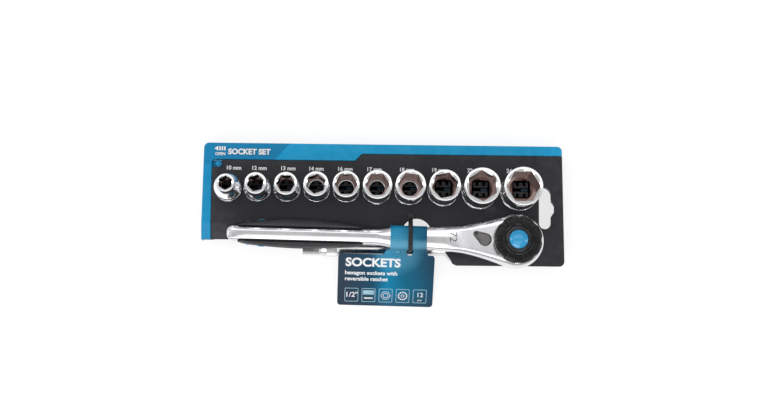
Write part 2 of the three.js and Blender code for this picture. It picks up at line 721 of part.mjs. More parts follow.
const ballShape = solid(new THREE.SphereGeometry(ballRadius, 12, 7));
const ballOut = driveSquare / 2 + ballProud - ballRadius;
add(wrench, "drive_ball", ballShape.translate([ballOut, 0, ballZ]), steel, 0.2, 1);
add(wrench, "reverse_lever", reverseLever(), chrome, 0.3, 1);
add(wrench, "pawl", pawlShape().rotate([0, 0, pawl.rest]), steel, 0.3, 1);
add(wrench, "grip_upper", gripHalf(1), black, 0.7);
add(wrench, "grip_lower", gripHalf(-1), black, 0.7);
add(wrench, "inlay_upper", inlayStrip(1, 0), blue, 0.6);
add(wrench, "inlay_lower", inlayStrip(-1, 0), blue, 0.6);

// Plunger and spring in the lever's shaft that hold the pawl over.
const plungerShape = rod(plunger.radius, 1, plunger.nose, 12).rotate([0, -90, 0]);
const plungerSpring = coil(0.85, 0.22, 0, 3, 3).rotate([0, -90, 0]);
const inLever = (shape, shift) =>
  shape.translate([shift, 0, plunger.z]).rotate([0, 0, lever.rest]).translate([lever.x, 0, 0]);
add(wrench, "lever_plunger", inLever(plungerShape, 0), steel, 0.3, 1);
add(wrench, "plunger_spring", inLever(plungerSpring, 2.4), steel, 0.3, 1);

// ---- hang card and cable tie ----

// A thin sheet along an open path in the y-z plane, with its thickness on the left of the path.
function ribbon(path, thickness) {
  const outer = path.map((point, i) => {
    const a = path[Math.max(i - 1, 0)];
    const b = path[Math.min(i + 1, path.length - 1)];
    const out = thickness / Math.hypot(b[0] - a[0], b[1] - a[1]);
    return [point[0] - (b[1] - a[1]) * out, point[1] + (b[0] - a[0]) * out];
  });
  return [...path, ...outer.reverse()];
}

function hangCard() {
  const side = neckHalf + strap.play;
  const over = core.high + strap.play;
  const bend = 2.6;
  const path = [
    [card.foot, card.footZ],
    [-side - 2, card.topZ - 2],
    [-side - 0.5, card.topZ],
    [-side, card.topZ + 2],
    ...arc(-side + bend, over - bend, bend, 180, 90, 4),
    ...arc(side - bend, over - bend, bend, 90, 0, 4),
    [side, strap.back],
  ];
  const whole = sideways(ribbon(path, card.thickness), strap.left, strap.right);
  const c = card.corner;
  const edgeY = -side - 2.5;
  const plan = [
    ...arc(card.left + c, card.foot + c, c, 180, 270, 4),
    ...arc(card.right - c, card.foot + c, c, 270, 360, 4),
    ...arc(card.right - c, edgeY - c, c, 0, 90, 4),
    ...arc(card.left + c, edgeY - c, c, 90, 180, 4),
  ];
  const sheet = sideways(ribbon(path.slice(0, 2), card.thickness), card.left - 1, card.right + 1)
    .intersect(prism(plan, -60, 60));
  return whole
    .add(sheet)
    .subtract(box([tie.x - 2.7, -side - 4.4, card.topZ - 5], [tie.x + 2.7, -side + 1, card.topZ + 3.5]));
}

function cableTie() {
  const out = neckHalf + strap.play + card.thickness + tie.play;
  const over = core.high + strap.play + card.thickness + tie.play;
  const under = core.low - 0.6;
  const inner = [
    [-neckHalf + 1.5, under], [tie.far - 3, under], [tie.far - 1, under + 2], [tie.far - 1, under + 5],
    [9, over], [-out + 2.2, over], [-out, over - 2.2], [-out, card.topZ], [-out + 1, under + 1.2],
  ];
  const x0 = tie.x - tie.width / 2;
  const x1 = tie.x + tie.width / 2;
  const head = box([x0 - 1, tie.far - 0.5, under], [x1 + 1, tie.far + 3.5, under + 5.5]);
  return sideways(inset(inner, -tie.thickness), x0, x1).subtract(sideways(inner, x0 - 1, x1 + 1)).add(head);
}

add(wrench, "hang_card", hangCard(), 0x1c6f94, 0.35);
add(wrench, "cable_tie", cableTie(), black, 0.4);

// ---- extension bar ----

function extensionBar() {
  const { length, square: squareRun, collar, collarEnd, shaft, female, femaleLength } = bar;
  const neck = length - femaleLength;
  const profile = [
    [0, squareRun - 1], [driveSquare / 2, squareRun - 0.5], [collar, squareRun + 1.5],
    [collar, collarEnd - 1], [shaft, collarEnd + 1], [shaft, neck - 4], [female, neck],
    [female, length - 0.8], [female - 0.8, length], [0, length],
  ];
  const points = profile.map(([r, x]) => new THREE.Vector2(r, x));
  const h = driveSquare / 2;
  const hole = squareHole / 2;
  const rounding = new THREE.CylinderGeometry(squareCorner, squareCorner, 4 * squareRun, 32);
  return solid(new THREE.LatheGeometry(points, 28).rotateZ(-Math.PI / 2))
    .add(box([0, -h, -h], [squareRun, h, h]).intersect(solid(rounding.rotateZ(Math.PI / 2))))
    .subtract(box([length - squareDepth, -hole, -hole], [length + 1, hole, hole]))
    .subtract(rod(ballRadius + gap, -h - 1, h - ballFloor, 16, [squareRun / 2, 0, 0]))
    .translate([bar.tipX, bar.y, bar.z]);
}

add(root, "extension_bar", extensionBar(), chrome, 0.15, 1);
const barBallX = bar.tipX + bar.square / 2;
add(root, "bar_ball", ballShape.translate([barBallX, bar.y, bar.z - ballOut]), steel, 0.2, 1);
const barSpring = coil(1.3, 0.3, ballRadius - ballOut + 0.9, driveSquare / 2 - ballFloor - 0.1, 4);
add(root, "bar_ball_spring", barSpring.translate([barBallX, bar.y, bar.z]), steel, 0.3, 1);

export default root;
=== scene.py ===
# Half-inch drive socket set on a moulded hanging holder: ten sockets, ratchet, extension bar and card.
import json
import math

import bmesh
import bpy
from mathutils import Euler, Matrix, Vector


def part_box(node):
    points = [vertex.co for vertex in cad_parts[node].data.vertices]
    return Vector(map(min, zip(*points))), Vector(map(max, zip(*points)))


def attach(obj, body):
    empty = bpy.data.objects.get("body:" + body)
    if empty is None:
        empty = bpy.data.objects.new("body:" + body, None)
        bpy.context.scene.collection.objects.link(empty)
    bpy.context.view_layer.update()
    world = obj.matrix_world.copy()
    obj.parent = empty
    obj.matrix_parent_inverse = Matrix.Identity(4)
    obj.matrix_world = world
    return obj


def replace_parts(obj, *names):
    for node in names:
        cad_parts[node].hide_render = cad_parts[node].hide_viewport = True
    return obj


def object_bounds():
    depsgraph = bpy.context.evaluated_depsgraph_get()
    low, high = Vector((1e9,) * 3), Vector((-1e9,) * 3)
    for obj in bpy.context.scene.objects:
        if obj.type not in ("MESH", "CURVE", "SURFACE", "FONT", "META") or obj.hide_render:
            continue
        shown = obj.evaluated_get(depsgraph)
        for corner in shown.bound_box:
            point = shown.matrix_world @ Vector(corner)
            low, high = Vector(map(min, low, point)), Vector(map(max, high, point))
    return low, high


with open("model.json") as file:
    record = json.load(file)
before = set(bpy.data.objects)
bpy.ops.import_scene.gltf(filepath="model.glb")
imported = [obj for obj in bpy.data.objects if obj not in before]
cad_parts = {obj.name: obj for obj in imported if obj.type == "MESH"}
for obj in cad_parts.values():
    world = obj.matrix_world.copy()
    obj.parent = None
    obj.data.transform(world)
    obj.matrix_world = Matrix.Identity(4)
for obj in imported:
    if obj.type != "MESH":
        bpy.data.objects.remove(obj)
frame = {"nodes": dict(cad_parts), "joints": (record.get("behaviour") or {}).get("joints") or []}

scene = bpy.context.scene
cad_low, cad_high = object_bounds()

# ---- Camera, lamps and floor ----
# The set lies on its back on a white table. A long lens looks straight down on it from a little
# towards the handle's side, under broad soft lamps.

MM = 0.001

lens = bpy.data.cameras.new("long_lens")
lens.sensor_width = 36
lens.lens = 77.54
camera = bpy.data.objects.new("camera", lens)
camera.location = (-0.0297, -0.1744, 1.4138)
camera.rotation_euler = Euler([math.radians(angle) for angle in (7.293, -1.522, 0.46)])
scene.collection.objects.link(camera)
scene.camera = camera
scene.view_settings.view_transform = "Standard"


def add_node(tree, kind, values=None, **settings):
    """A shader node with its settings and inputs; a socket given as a value is linked."""
    made = tree.nodes.new("ShaderNode" + kind)
    for key, value in settings.items():
        setattr(made, key, value)
    for key, value in (values or {}).items():
        if isinstance(value, bpy.types.NodeSocket):
            tree.links.new(value, made.inputs[key])
        else:
            made.inputs[key].default_value = value
    return made


def maths(tree, operation, a, b=0.0, clamp=False):
    """The result of a math node."""
    return add_node(tree, "Math", {0: a, 1: b}, operation=operation, use_clamp=clamp).outputs[0]


def remap(tree, value, low, high, first=0.0, last=1.0):
    """A value brought from the span low to high to the span first to last, and kept within it."""
    return add_node(tree, "MapRange", {0: value, 1: low, 2: high, 3: first, 4: last}).outputs[0]


def softbox(name, place, aim, width, height, watts):
    """A square studio lamp with a diffuser, aimed at a point."""
    light = bpy.data.lights.new(name, "AREA")
    light.shape = "RECTANGLE"
    light.size, light.size_y, light.energy = width, height, watts
    lamp = bpy.data.objects.new(name, light)
    lamp.location = place
    lamp.rotation_euler = (Vector(aim) - Vector(place)).to_track_quat("-Z", "Y").to_euler()
    scene.collection.objects.link(lamp)


softbox("lamp_handle_side", (-0.35, -1.3, 1.25), (0, 0, 0), 1.5, 0.9, 11)
softbox("lamp_left", (-1.6, 0.1, 0.9), (0, 0, 0), 0.5, 1.1, 5)
softbox("lamp_right", (1.6, -0.2, 0.9), (0, 0, 0), 0.4, 0.9, 3)
softbox("lamp_over_top_edge", (0.05, 0.62, 1.9), (0.05, 0.62, 0), 2.2, 0.8, 6)
softbox("lamp_over_handle", (0, -0.64, 1.9), (0, -0.64, 0), 2.2, 0.8, 5.2)

world = bpy.data.worlds.new("studio")
world.use_nodes = True
scene.world = world
sky = world.node_tree
sky.nodes.clear()


def seen_by(tree, *rays):
    """A mask of 1 for the named kinds of light path."""
    ray = add_node(tree, "LightPath")
    mask = ray.outputs[f"Is {rays[0]} Ray"]
    for kind in rays[1:]:
        mask = maths(tree, "MAXIMUM", mask, ray.outputs[f"Is {kind} Ray"])
    return mask


lit = add_node(sky, "Background", {"Color": (0.52, 0.52, 0.53, 1), "Strength": 1})
white = add_node(sky, "Background", {"Color": (1, 1, 1, 1), "Strength": 1})
both = add_node(sky, "MixShader", {0: seen_by(sky, "Camera", "Transmission"), 1: lit.outputs[0],
                                   2: white.outputs[0]})
sky.links.new(both.outputs[0], add_node(sky, "OutputWorld").inputs["Surface"])

table_paint = bpy.data.materials.new("table_white")
table_paint.use_nodes = True
coat = table_paint.node_tree
coat.nodes.clear()
paper = add_node(coat, "BsdfDiffuse", {"Color": (0.34, 0.34, 0.34, 1)})
glow = add_node(coat, "Emission", {"Color": (1, 1, 1, 1), "Strength": 0.74})
unlit = add_node(coat, "Emission", {"Color": (0, 0, 0, 1), "Strength": 0})
lift = add_node(coat, "MixShader", {0: seen_by(coat, "Camera", "Glossy", "Transmission"),
                                    1: unlit.outputs[0], 2: glow.outputs[0]})
total = add_node(coat, "AddShader", {0: paper.outputs[0], 1: lift.outputs[0]})
coat.links.new(total.outputs[0], add_node(coat, "OutputMaterial").inputs["Surface"])

floor_mesh = bpy.data.meshes.new("floor")
reach = 6
floor_mesh.from_pydata(
    [(-reach, -reach, cad_low.z), (reach, -reach, cad_low.z), (reach, reach, cad_low.z),
     (-reach, reach, cad_low.z)], [], [(0, 1, 2, 3)])
floor_mesh.materials.append(table_paint)
floor = bpy.data.objects.new("floor", floor_mesh)
scene.collection.objects.link(floor)

# ---- Holder ----
# A long open-backed moulding in black polypropylene, with a split post for each socket, a keyhole
# slot for a shop hook and a lip bent back under the ratchet's handle. Sizes are printed in white.

socket_sizes = (10, 12, 13, 14, 16, 17, 18, 19, 22, 24)
rest_gap = 0.3  # between a piece and what carries it
face_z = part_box("socket_10mm")[0].z / MM - rest_gap


def shader_group(name, inputs, outputs):
    """An empty shader node group with number inputs and the given output sockets."""
    tree = bpy.data.node_groups.new(name, "ShaderNodeTree")
    for label, value in inputs.items():
        tree.interface.new_socket(label, in_out="INPUT", socket_type="NodeSocketFloat").default_value = value
    for label in outputs:
        tree.interface.new_socket(label, in_out="OUTPUT", socket_type="NodeSocketFloat")
    return tree, tree.nodes.new("NodeGroupInput"), tree.nodes.new("NodeGroupOutput")


# Fine spark-eroded mould texture: a height for the grain and a slow mottle of the surface.
grain_group, given, out = shader_group("mould_grain", {"Scale": 1500}, ["Height", "Mottle"])
where = add_node(grain_group, "TexCoord").outputs["Object"]
fine = add_node(grain_group, "TexNoise", {"Vector": where, "Scale": given.outputs["Scale"], "Detail": 2})
pits = add_node(grain_group, "TexVoronoi", {"Vector": where, "Scale": given.outputs["Scale"]})
height = maths(grain_group, "ADD", fine.outputs[0], pits.outputs["Distance"])
slow = add_node(grain_group, "TexNoise", {"Vector": where, "Scale": 38, "Detail": 4})
grain_group.links.new(height, out.inputs["Height"])
grain_group.links.new(slow.outputs[0], out.inputs["Mottle"])

# Edges rubbed by handling: a mask that is strongest on convex corners, broken up by noise.
edge_group, given, out = shader_group("rubbed_edges", {"Amount": 1}, ["Edge"])
corner = add_node(edge_group, "NewGeometry").outputs["Pointiness"]
sharp = remap(edge_group, corner, 0.515, 0.62)
where = add_node(edge_group, "TexCoord").outputs["Object"]
patchy = add_node(edge_group, "TexNoise", {"Vector": where, "Scale": 160, "Detail": 3})
broken = remap(edge_group, patchy.outputs[0], 0.35, 0.65)
mask = maths(edge_group, "MULTIPLY", sharp, broken)
mask = maths(edge_group, "MULTIPLY", mask, given.outputs["Amount"], clamp=True)
edge_group.links.new(mask, out.inputs["Edge"])


def use_group(tree, group, **values):
    made = add_node(tree, "Group", node_tree=group)
    for key, value in values.items():
        made.inputs[key].default_value = value
    return made


def blank_material(name, **values):
    """A material with one Principled shader; values are its plain settings."""
    made = bpy.data.materials.new(name)
    made.use_nodes = True
    tree = made.node_tree
    tree.nodes.clear()
    shader = add_node(tree, "BsdfPrincipled", {key.replace("_", " "): v for key, v in values.items()})
    tree.links.new(shader.outputs[0], add_node(tree, "OutputMaterial").inputs["Surface"])
    return made, tree, shader


def colour(tree, factor, low, high):
    """A mix of two colours by a factor."""
    made = add_node(tree, "Mix", data_type="RGBA")
    tree.links.new(factor, made.inputs["Factor"])
    for key, value in (("A", low), ("B", high)):
        socket = [s for s in made.inputs if s.name == key and s.type == "RGBA"][0]
        if isinstance(value, bpy.types.NodeSocket):
            tree.links.new(value, socket)
        else:
            socket.default_value = (*value, 1)
    return [s for s in made.outputs if s.type == "RGBA"][0]


def base_colour(material):
    """A material's node tree, its Principled shader's base colour and what feeds it."""
    tree = material.node_tree
    shader = next(node for node in tree.nodes if node.type == "BSDF_PRINCIPLED")
    base = shader.inputs["Base Color"]
    return tree, base, base.links[0].from_socket


def uneven(tree, value, shader, smooth, rough, low=0.3, high=0.7):
    """Gloss that varies over the surface, from smooth to rough, with a value of a texture."""
    tree.links.new(remap(tree, value, low, high, smooth, rough), shader.inputs["Roughness"])


def dented(tree, value, shader, strength, depth):
    """A bump from a texture's value, its depth in millimetres."""
    bump = add_node(tree, "Bump", {"Height": value, "Strength": strength, "Distance": depth * MM})
    tree.links.new(bump.outputs[0], shader.inputs["Normal"])


def moulding(name, dark, light, rubbed, roughness, grain=1500, depth=0.012, edge=0.5, shine=0.35):
    """Moulded plastic: mottled colour, paler rubbed edges, fine grain and uneven gloss."""
    made, tree, shader = blank_material(name, Specular_IOR_Level=shine)
    texture = use_group(tree, grain_group, Scale=grain)
    wear = use_group(tree, edge_group, Amount=edge)
    body = colour(tree, texture.outputs["Mottle"], dark, light)
    tree.links.new(colour(tree, wear.outputs["Edge"], body, rubbed), shader.inputs["Base Color"])
    uneven(tree, texture.outputs["Mottle"], shader, roughness + 0.07, roughness - 0.05)
    dented(tree, texture.outputs["Height"], shader, 0.35, depth)
    return made


def soften(piece, sharp=32):
    """Smooth shading with crisp edges above an angle."""
    piece.data.polygons.foreach_set("use_smooth", [True] * len(piece.data.polygons))
    piece.data.set_sharp_from_angle(angle=math.radians(sharp))
    return piece


def rounded_copy(node, piece, material, radius, steps=2):
    """A piece of a CAD node's shape with small rounded edges, standing for that node."""
    mesh = frame["nodes"][node].data.copy()
    shape = bmesh.new()
    shape.from_mesh(mesh)
    bmesh.ops.remove_doubles(shape, verts=shape.verts, dist=2e-6)
    bmesh.ops.dissolve_limit(shape, angle_limit=math.radians(1), verts=shape.verts, edges=shape.edges)
    shape.to_mesh(mesh)
    shape.free()
    mesh.materials.clear()
    mesh.materials.append(material)
    made = bpy.data.objects.new(piece, mesh)
    scene.collection.objects.link(made)
    edge = made.modifiers.new("edges", "BEVEL")
    edge.width, edge.segments, edge.limit_method = radius * MM, steps, "ANGLE"
    edge.angle_limit, edge.use_clamp_overlap = math.radians(32), False
    made.modifiers.new("shading", "WEIGHTED_NORMAL").keep_sharp = True
    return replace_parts(soften(made), node)


def lettering(piece, words, height, place, material, turn=0, bold=0.01, lift=0.06, spin=None, side="CENTER"):
    """Flat printed words, their middle or side at a place in millimetres, as a thin raised film."""
    line = bpy.data.curves.new(piece, "FONT")
    line.body, line.align_x, line.align_y = words, side, "CENTER"
    line.size, line.offset, line.extrude = height / 0.7 * MM, bold * height * MM, lift / 2 * MM
    line.resolution_u = 4
    source = bpy.data.objects.new(piece + "_line", line)
    scene.collection.objects.link(source)
    bpy.context.view_layer.update()
    mesh = bpy.data.meshes.new_from_object(source)
    bpy.data.objects.remove(source)
    mesh.transform(Matrix.Rotation(math.radians(turn), 4, "Z"))
    mesh.transform((spin or Matrix.Identity(4)) @ Matrix.Translation(Vector(place) * MM))
    mesh.materials.clear()
    mesh.materials.append(material)
    made = bpy.data.objects.new(piece, mesh)
    scene.collection.objects.link(made)
    return made


holder_black = moulding("holder_black", (0.013, 0.013, 0.016), (0.024, 0.024, 0.030), (0.09, 0.09, 0.10),
                        0.46, grain=1300, edge=0.6, shine=0.27)
print_white = moulding("print_white", (0.74, 0.75, 0.76), (0.86, 0.86, 0.87), (0.9, 0.9, 0.9), 0.5,
                       grain=900, depth=0.004, edge=0)
for node, piece, radius in (("holder_panel", "holder", 0.35), ("post_strip", "posts", 0.2),
                            ("drive_cup", "square_cup", 0.3)):
    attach(rounded_copy(node, piece, holder_black, radius), "holder")

label_y = 29.2
print_z = face_z + 0.03  # middle of the ink film on the face
label_shift = (4.1, 0.8, 0.3, -0.7, -1.1, -2.3, -2, -3, -3.4, -4)
for size, shift in zip(socket_sizes, label_shift):
    low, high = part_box(f"socket_{size}mm")
    middle = (low.x + high.x) / 2 / MM + shift
    label = lettering(f"size_label_{size}mm", f"{size} mm", 3.2, (middle, label_y, print_z), print_white,
                      bold=0.05)
    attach(label, "holder")

# ---- Locking slide and its button ----
# A blue polypropylene frame over the holder's left and top sides. It slides to the left to free the
# sockets, and a sprung button in the corner holds it shut.

lock_blue = moulding("lock_blue", (0.002, 0.29, 0.55), (0.004, 0.33, 0.62), (0.08, 0.44, 0.68), 0.4,
                     grain=1300, depth=0.008, edge=0.7, shine=0.2)
# A deeper blue pad lies under the title and ends in a slanted edge. Below the crease in the frame's
# left side the blue is a little lighter again.
pad_blue = (0.001, 0.207, 0.42)
pad_edge, crease, fade = -0.1248, 0.032, 0.0004
tree, base, plain = base_colour(lock_blue)
where = add_node(tree, "TexCoord").outputs["Object"]
slant = add_node(tree, "VectorMath", {0: where, 1: (1, -0.92, 0)}, operation="DOT_PRODUCT")
right = remap(tree, slant.outputs["Value"], pad_edge - fade, pad_edge + fade)
y_at = add_node(tree, "SeparateXYZ", {0: where}).outputs["Y"]
leg = remap(tree, y_at, crease + fade, crease - fade, 0, 0.4)
upper = remap(tree, maths(tree, "MULTIPLY", right, y_at), crease - 0.002, crease + 0.001)
tree.links.new(colour(tree, maths(tree, "MAXIMUM", upper, leg), pad_blue, plain), base)
# The lock bar's blue is painted far darker than the frame's: painted shade, since the bar lies deep under the
# posts.
bar_blue_painted_shade = moulding("bar_blue_painted_shade", (0.002, 0.035, 0.07), (0.004, 0.05, 0.10), (0.01, 0.07, 0.13), 0.5, edge=0.4)
for node, piece, radius, material in (("lock_slide", "slide_frame", 0.35, lock_blue),
                                      ("lock_bar", "slide_bar", 0.2, bar_blue_painted_shade)):
    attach(rounded_copy(node, piece, material, radius), "slide")

title = lettering("slide_title", "SOCKET SET", 4.4, (-112, 42.8, print_z), print_white, bold=0.07)
open_word = lettering("slide_open_word", "OPEN", 2.3, (-136.1, 40.9, print_z), print_white, bold=0.05)
for word in (title, open_word):
    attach(word, "slide")


def build(piece, points, faces, material, place=None, sharp=32):
    """A mesh piece from points in millimetres; place carries it into the object's frame."""
    mesh = bpy.data.meshes.new(piece)
    mesh.from_pydata([(place or Matrix.Identity(4)) @ (Vector(p) * MM) for p in points], [], faces)
    shape = bmesh.new()
    shape.from_mesh(mesh)
    bmesh.ops.remove_doubles(shape, verts=shape.verts, dist=1e-6)
    bmesh.ops.recalc_face_normals(shape, faces=shape.faces)
    shape.to_mesh(mesh)
    shape.free()
    for one in material if isinstance(material, (list, tuple)) else [material]:
        mesh.materials.append(one)
    made = bpy.data.objects.new(piece, mesh)
    scene.collection.objects.link(made)
    return soften(made, sharp)


def skin(rows, closed=False):
    """Points and faces over rows of equally many points, capped at both ends unless closed."""
    count = len(rows[0])
    faces = []
    for i in range(len(rows) if closed else len(rows) - 1):
        a, b = i * count, (i + 1) % len(rows) * count
        faces += [(a + k, a + (k + 1) % count, b + (k + 1) % count, b + k) for k in range(count)]
    if not closed:
        faces += [tuple(range(count)), tuple(range((len(rows) - 1) * count, len(rows) * count))]
    return [p for row in rows for p in row], faces


def plate_shape(outline, low, high):
    return skin([[(x, y, low) for x, y in outline], [(x, y, high) for x, y in outline]])


def oblong(left, right, low, high):
    return [(left, low), (right, low), (right, high), (left, high)]


marks = {"slide_open_arrow": [(-141.2, 45.6), (-137.9, 43.5), (-137.9, 47.7)]}
for number, left in enumerate((-137.1, -135.1, -133.1)):
    marks[f"slide_open_bar_{number + 1}"] = oblong(left, left + 1.3, 43.9, 47.3)
for piece, outline in marks.items():
    points, faces = plate_shape(outline, face_z, face_z + 0.06)
    mark = build(piece, points, faces, print_white)
    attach(mark, "slide")


def turned(profile, steps, centre=(0, 0)):
    """A turned shape about z from (radius, height) pairs, with its axis at a centre."""
    rows = []
    for radius, z in profile:
        rows.append([(centre[0] + radius * math.cos(2 * math.pi * k / steps),
                      centre[1] + radius * math.sin(2 * math.pi * k / steps), z) for k in range(steps)])
    return skin(rows)


low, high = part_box("lock_button")
button_axis = ((low.x + high.x) / 2 / MM, (low.y + high.y) / 2 / MM)
dot_radius = (high.x - low.x) / 2 / MM
dot_top = high.z / MM
dome = [(dot_radius * math.sin(math.radians(a)), dot_top - 1.9 + 1.9 * math.cos(math.radians(a)))
        for a in range(90, 0, -10)]
stem = [(1.3, low.z / MM), (2.1, low.z / MM + 0.2), (2.1, low.z / MM + 1.6), (1.3, low.z / MM + 1.7),
        (1.3, dot_top - 3.5), (dot_radius - 0.2, dot_top - 3.4), (dot_radius, dot_top - 3.2)]
points, faces = turned(stem + dome, 48, button_axis)
dot_blue = moulding("button_dot_blue", (0.002, 0.20, 0.42), (0.004, 0.24, 0.50), (0.1, 0.4, 0.6), 0.22,
                    edge=0)
dot = build("lock_dot", points, faces, dot_blue)
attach(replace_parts(dot, "lock_button"), "button")

# ---- Sockets ----
# Chrome vanadium forgings, bright chrome plated: a drive end with a knurled band, a shoulder down to
# a slimmer nose, a hexagon with a lead-in chamfer and a square hole that stands on the holder's post.

hexagon_turns = {10: 28, 12: 15, 13: 0, 14: 20, 16: 1, 17: 3, 18: -6, 19: 12, 22: 33, 24: 2}
square_hole = 12.9
square_depth = 16
hexagon_floor = 18
knurl_low, knurl_high = 4.0, 8.9
around = 96  # points round a socket, a whole number for each hexagon side and square corner

# Light haze and wiping marks in a plated surface.
haze_group, given, out = shader_group("wiping_marks", {"Scale": 30}, ["Haze", "Ripple"])
where = add_node(haze_group, "TexCoord").outputs["Object"]
cloud = add_node(haze_group, "TexNoise", {"Vector": where, "Scale": given.outputs["Scale"], "Detail": 5,
                                          "Roughness": 0.65})
ripple = add_node(haze_group, "TexNoise", {"Vector": where, "Scale": 420, "Detail": 1})
haze_group.links.new(cloud.outputs[0], out.inputs["Haze"])
haze_group.links.new(ripple.outputs[0], out.inputs["Ripple"])


def plating(name, dull, bright, smooth, rough, ripple_depth=0.004, scale=45):
    """Chrome plate: reflections clouded by wiping marks over a slightly uneven forging."""
    made, tree, shader = blank_material(name, Metallic=1.0)
    marks = use_group(tree, haze_group, Scale=scale)
    tree.links.new(colour(tree, marks.outputs["Haze"], dull, bright), shader.inputs["Base Color"])
    uneven(tree, marks.outputs["Haze"], shader, smooth, rough, low=0.35)
    dented(tree, marks.outputs["Ripple"], shader, 0.4, ripple_depth)
    return made


socket_chrome = plating("socket_chrome", (0.84, 0.84, 0.85), (0.97, 0.97, 0.97), 0.08, 0.18)
bore_chrome = plating("bore_chrome", (0.30, 0.22, 0.20), (0.74, 0.60, 0.56), 0.10, 0.22, 0.012, 110)
knurl_chrome = plating("knurl_chrome", (0.62, 0.62, 0.63), (0.88, 0.88, 0.88), 0.34, 0.5)
# Painted shade: the bore's walls are painted darker with depth, for the shade that falls down the hole.
bright_above, dark_below = face_z * MM + 0.036, face_z * MM + 0.014
tree, base, plain = base_colour(bore_chrome)
parts = add_node(tree, "SeparateXYZ", {0: add_node(tree, "TexCoord").outputs["Object"]})
painted_bore_shade = remap(tree, parts.outputs["Z"], bright_above, dark_below)
tree.links.new(colour(tree, painted_bore_shade, plain, (0.17, 0.12, 0.11)), base)


def arc(radius, degrees, x=0, y=0):
    """Points of an arc about a middle, at angles in degrees."""
    return [(x + radius * math.cos(math.radians(a)), y + radius * math.sin(math.radians(a))) for a in degrees]


def polygon_radius(angle, flats, sides, corner):
    """How far a regular polygon's side lies from its middle, with a corner at an angle in degrees."""
    part = 2 * math.pi / sides
    off = (angle - math.radians(corner)) % part - part / 2
    return flats / 2 / math.cos(off)


def node_radius(node, low, high):
    """The widest radius of a CAD node between two heights above its foot, in millimetres."""
    lower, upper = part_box(node)
    x, y = (lower.x + upper.x) / 2, (lower.y + upper.y) / 2
    found = [math.hypot(v.co.x - x, v.co.y - y) / MM for v in frame["nodes"][node].data.vertices
             if low <= (v.co.z - lower.z) / MM <= high]
    return max(found)


def socket_rows(size, drive, nose, height, turn):
    """The skin of a socket from its foot, up the outside, over the nose and down the bore."""
    step = 360 / around
    shift = math.radians(turn - round(turn / step) * step)
    shoulder = height * 0.42
    rise = (drive - nose) * 1.1 + 0.5
    outside = [(drive - 0.9, 0), (drive - 0.3, 0.15), (drive, 0.7), (drive, 2.6), (drive - 0.45, 3),
               (drive - 0.45, 3.5), (drive, 3.8)]
    knurl = [(drive - 0.05, knurl_low), (drive - 0.05, knurl_high)]
    upper = [(drive, 9.1), (drive - 0.45, 9.4), (drive - 0.45, 9.9), (drive, 10.2), (drive, shoulder - 0.8),
             (drive - 0.25, shoulder)]
    if drive - nose > 0.4:
        upper += [(nose + 0.5, shoulder + rise - 0.5), (nose, shoulder + rise + 0.4)]
    else:
        upper += [(nose, shoulder + 0.4)]
    lip = 0.9
    rim = [(nose, height - lip)] + arc(lip, (30, 60, 90), nose - lip, height - lip)
    rows = []

    def add_row(radius, z, offset=0.0):
        rows.append([])
        for k in range(around):
            angle = 2 * math.pi * k / around + offset
            r = radius(angle) if callable(radius) else radius
            rows[-1].append((r * math.cos(angle), r * math.sin(angle), z(r) if callable(z) else z))

    for radius, z in outside:
        add_row(radius, z)
    for radius, z in knurl:
        rows.append([])
        for k in range(around):
            ridge = radius - (0.4 if k % 2 else 0)
            angle = 2 * math.pi * k / around
            rows[-1].append((ridge * math.cos(angle), ridge * math.sin(angle), z))
    for radius, z in upper + rim:
        add_row(radius, z)
    flats = size + 0.25
    hexagon = lambda angle: polygon_radius(angle, flats, 6, turn)
    corner = flats / math.sqrt(3)
    flare = min(corner + 0.35, nose - lip - 0.15)
    add_row(flare, height, shift)
    add_row(hexagon, lambda r: height - max(flare - r, 0.05) * 0.75, shift)
    add_row(hexagon, hexagon_floor, shift)
    hole = lambda angle: polygon_radius(angle, square_hole, 4, 45)
    if size > 18:
        step_radius = square_hole / math.sqrt(2) + (1.0 if size > 20 else 0.25)
        add_row(step_radius, hexagon_floor)
        add_row(step_radius - 0.25, hexagon_floor - 1.1)
        add_row(step_radius - 0.55, hexagon_floor - 1.1)
        add_row(lambda angle: hole(angle) + 0.05 + 0.4 * (step_radius - 0.8 - hole(angle)),
                hexagon_floor - 0.5)
        add_row(hole, hexagon_floor - 6)
    else:
        throat = min(5.6, size / 2 - 0.6)
        if size > 13:
            add_row(throat + 1.4, hexagon_floor)
            add_row(throat + 1.3, hexagon_floor - 0.4)
            add_row(throat + 1.1, hexagon_floor - 0.4)
        add_row(throat + 0.9, hexagon_floor)
        add_row(throat, hexagon_floor - 1.0)
        add_row(throat, square_depth)
        add_row(hole, square_depth)
    add_row(hole, 0.5)
    add_row(lambda angle: hole(angle) + 0.5, 0)
    return rows


ring_reach = 6.7  # radius of the bright ring round the hole in the bore's floor
for size, turn in hexagon_turns.items():
    node = f"socket_{size}mm"
    low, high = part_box(node)
    tall = (high.z - low.z) / MM
    drive = node_radius(node, 1, tall * 0.4)
    rows = socket_rows(size, drive, node_radius(node, tall - 1.5, tall), tall, turn)
    points, faces = skin(rows, closed=True)
    place = Matrix.Translation(((low.x + high.x) / 2, (low.y + high.y) / 2, low.z))
    piece = build(f"socket_{size}", points, faces, (socket_chrome, bore_chrome, knurl_chrome), place,
                  sharp=24)
    for face in piece.data.polygons:
        middle = (face.center - place.translation) / MM
        out = middle.to_2d().length
        bore_reach = max(size / math.sqrt(3) + 0.3, ring_reach) if middle.z > square_depth + 0.1 else 9.9
        on_ring = size > 13 and out < ring_reach and middle.z > hexagon_floor - 0.8
        if out > drive - 0.6 and knurl_low < middle.z < knurl_high:
            face.material_index = 2
        elif out < bore_reach and 1 < middle.z < tall - 1.5 and not on_ring:
            face.material_index = 1
    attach(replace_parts(piece, node), node)

# ---- Ratchet body ----
# One chrome plated forging: a flat pear-shaped head, a neck and a slim handle core whose top has two
# flats. The tooth count is stamped in the neck. A plate with three screws closes the head from below.

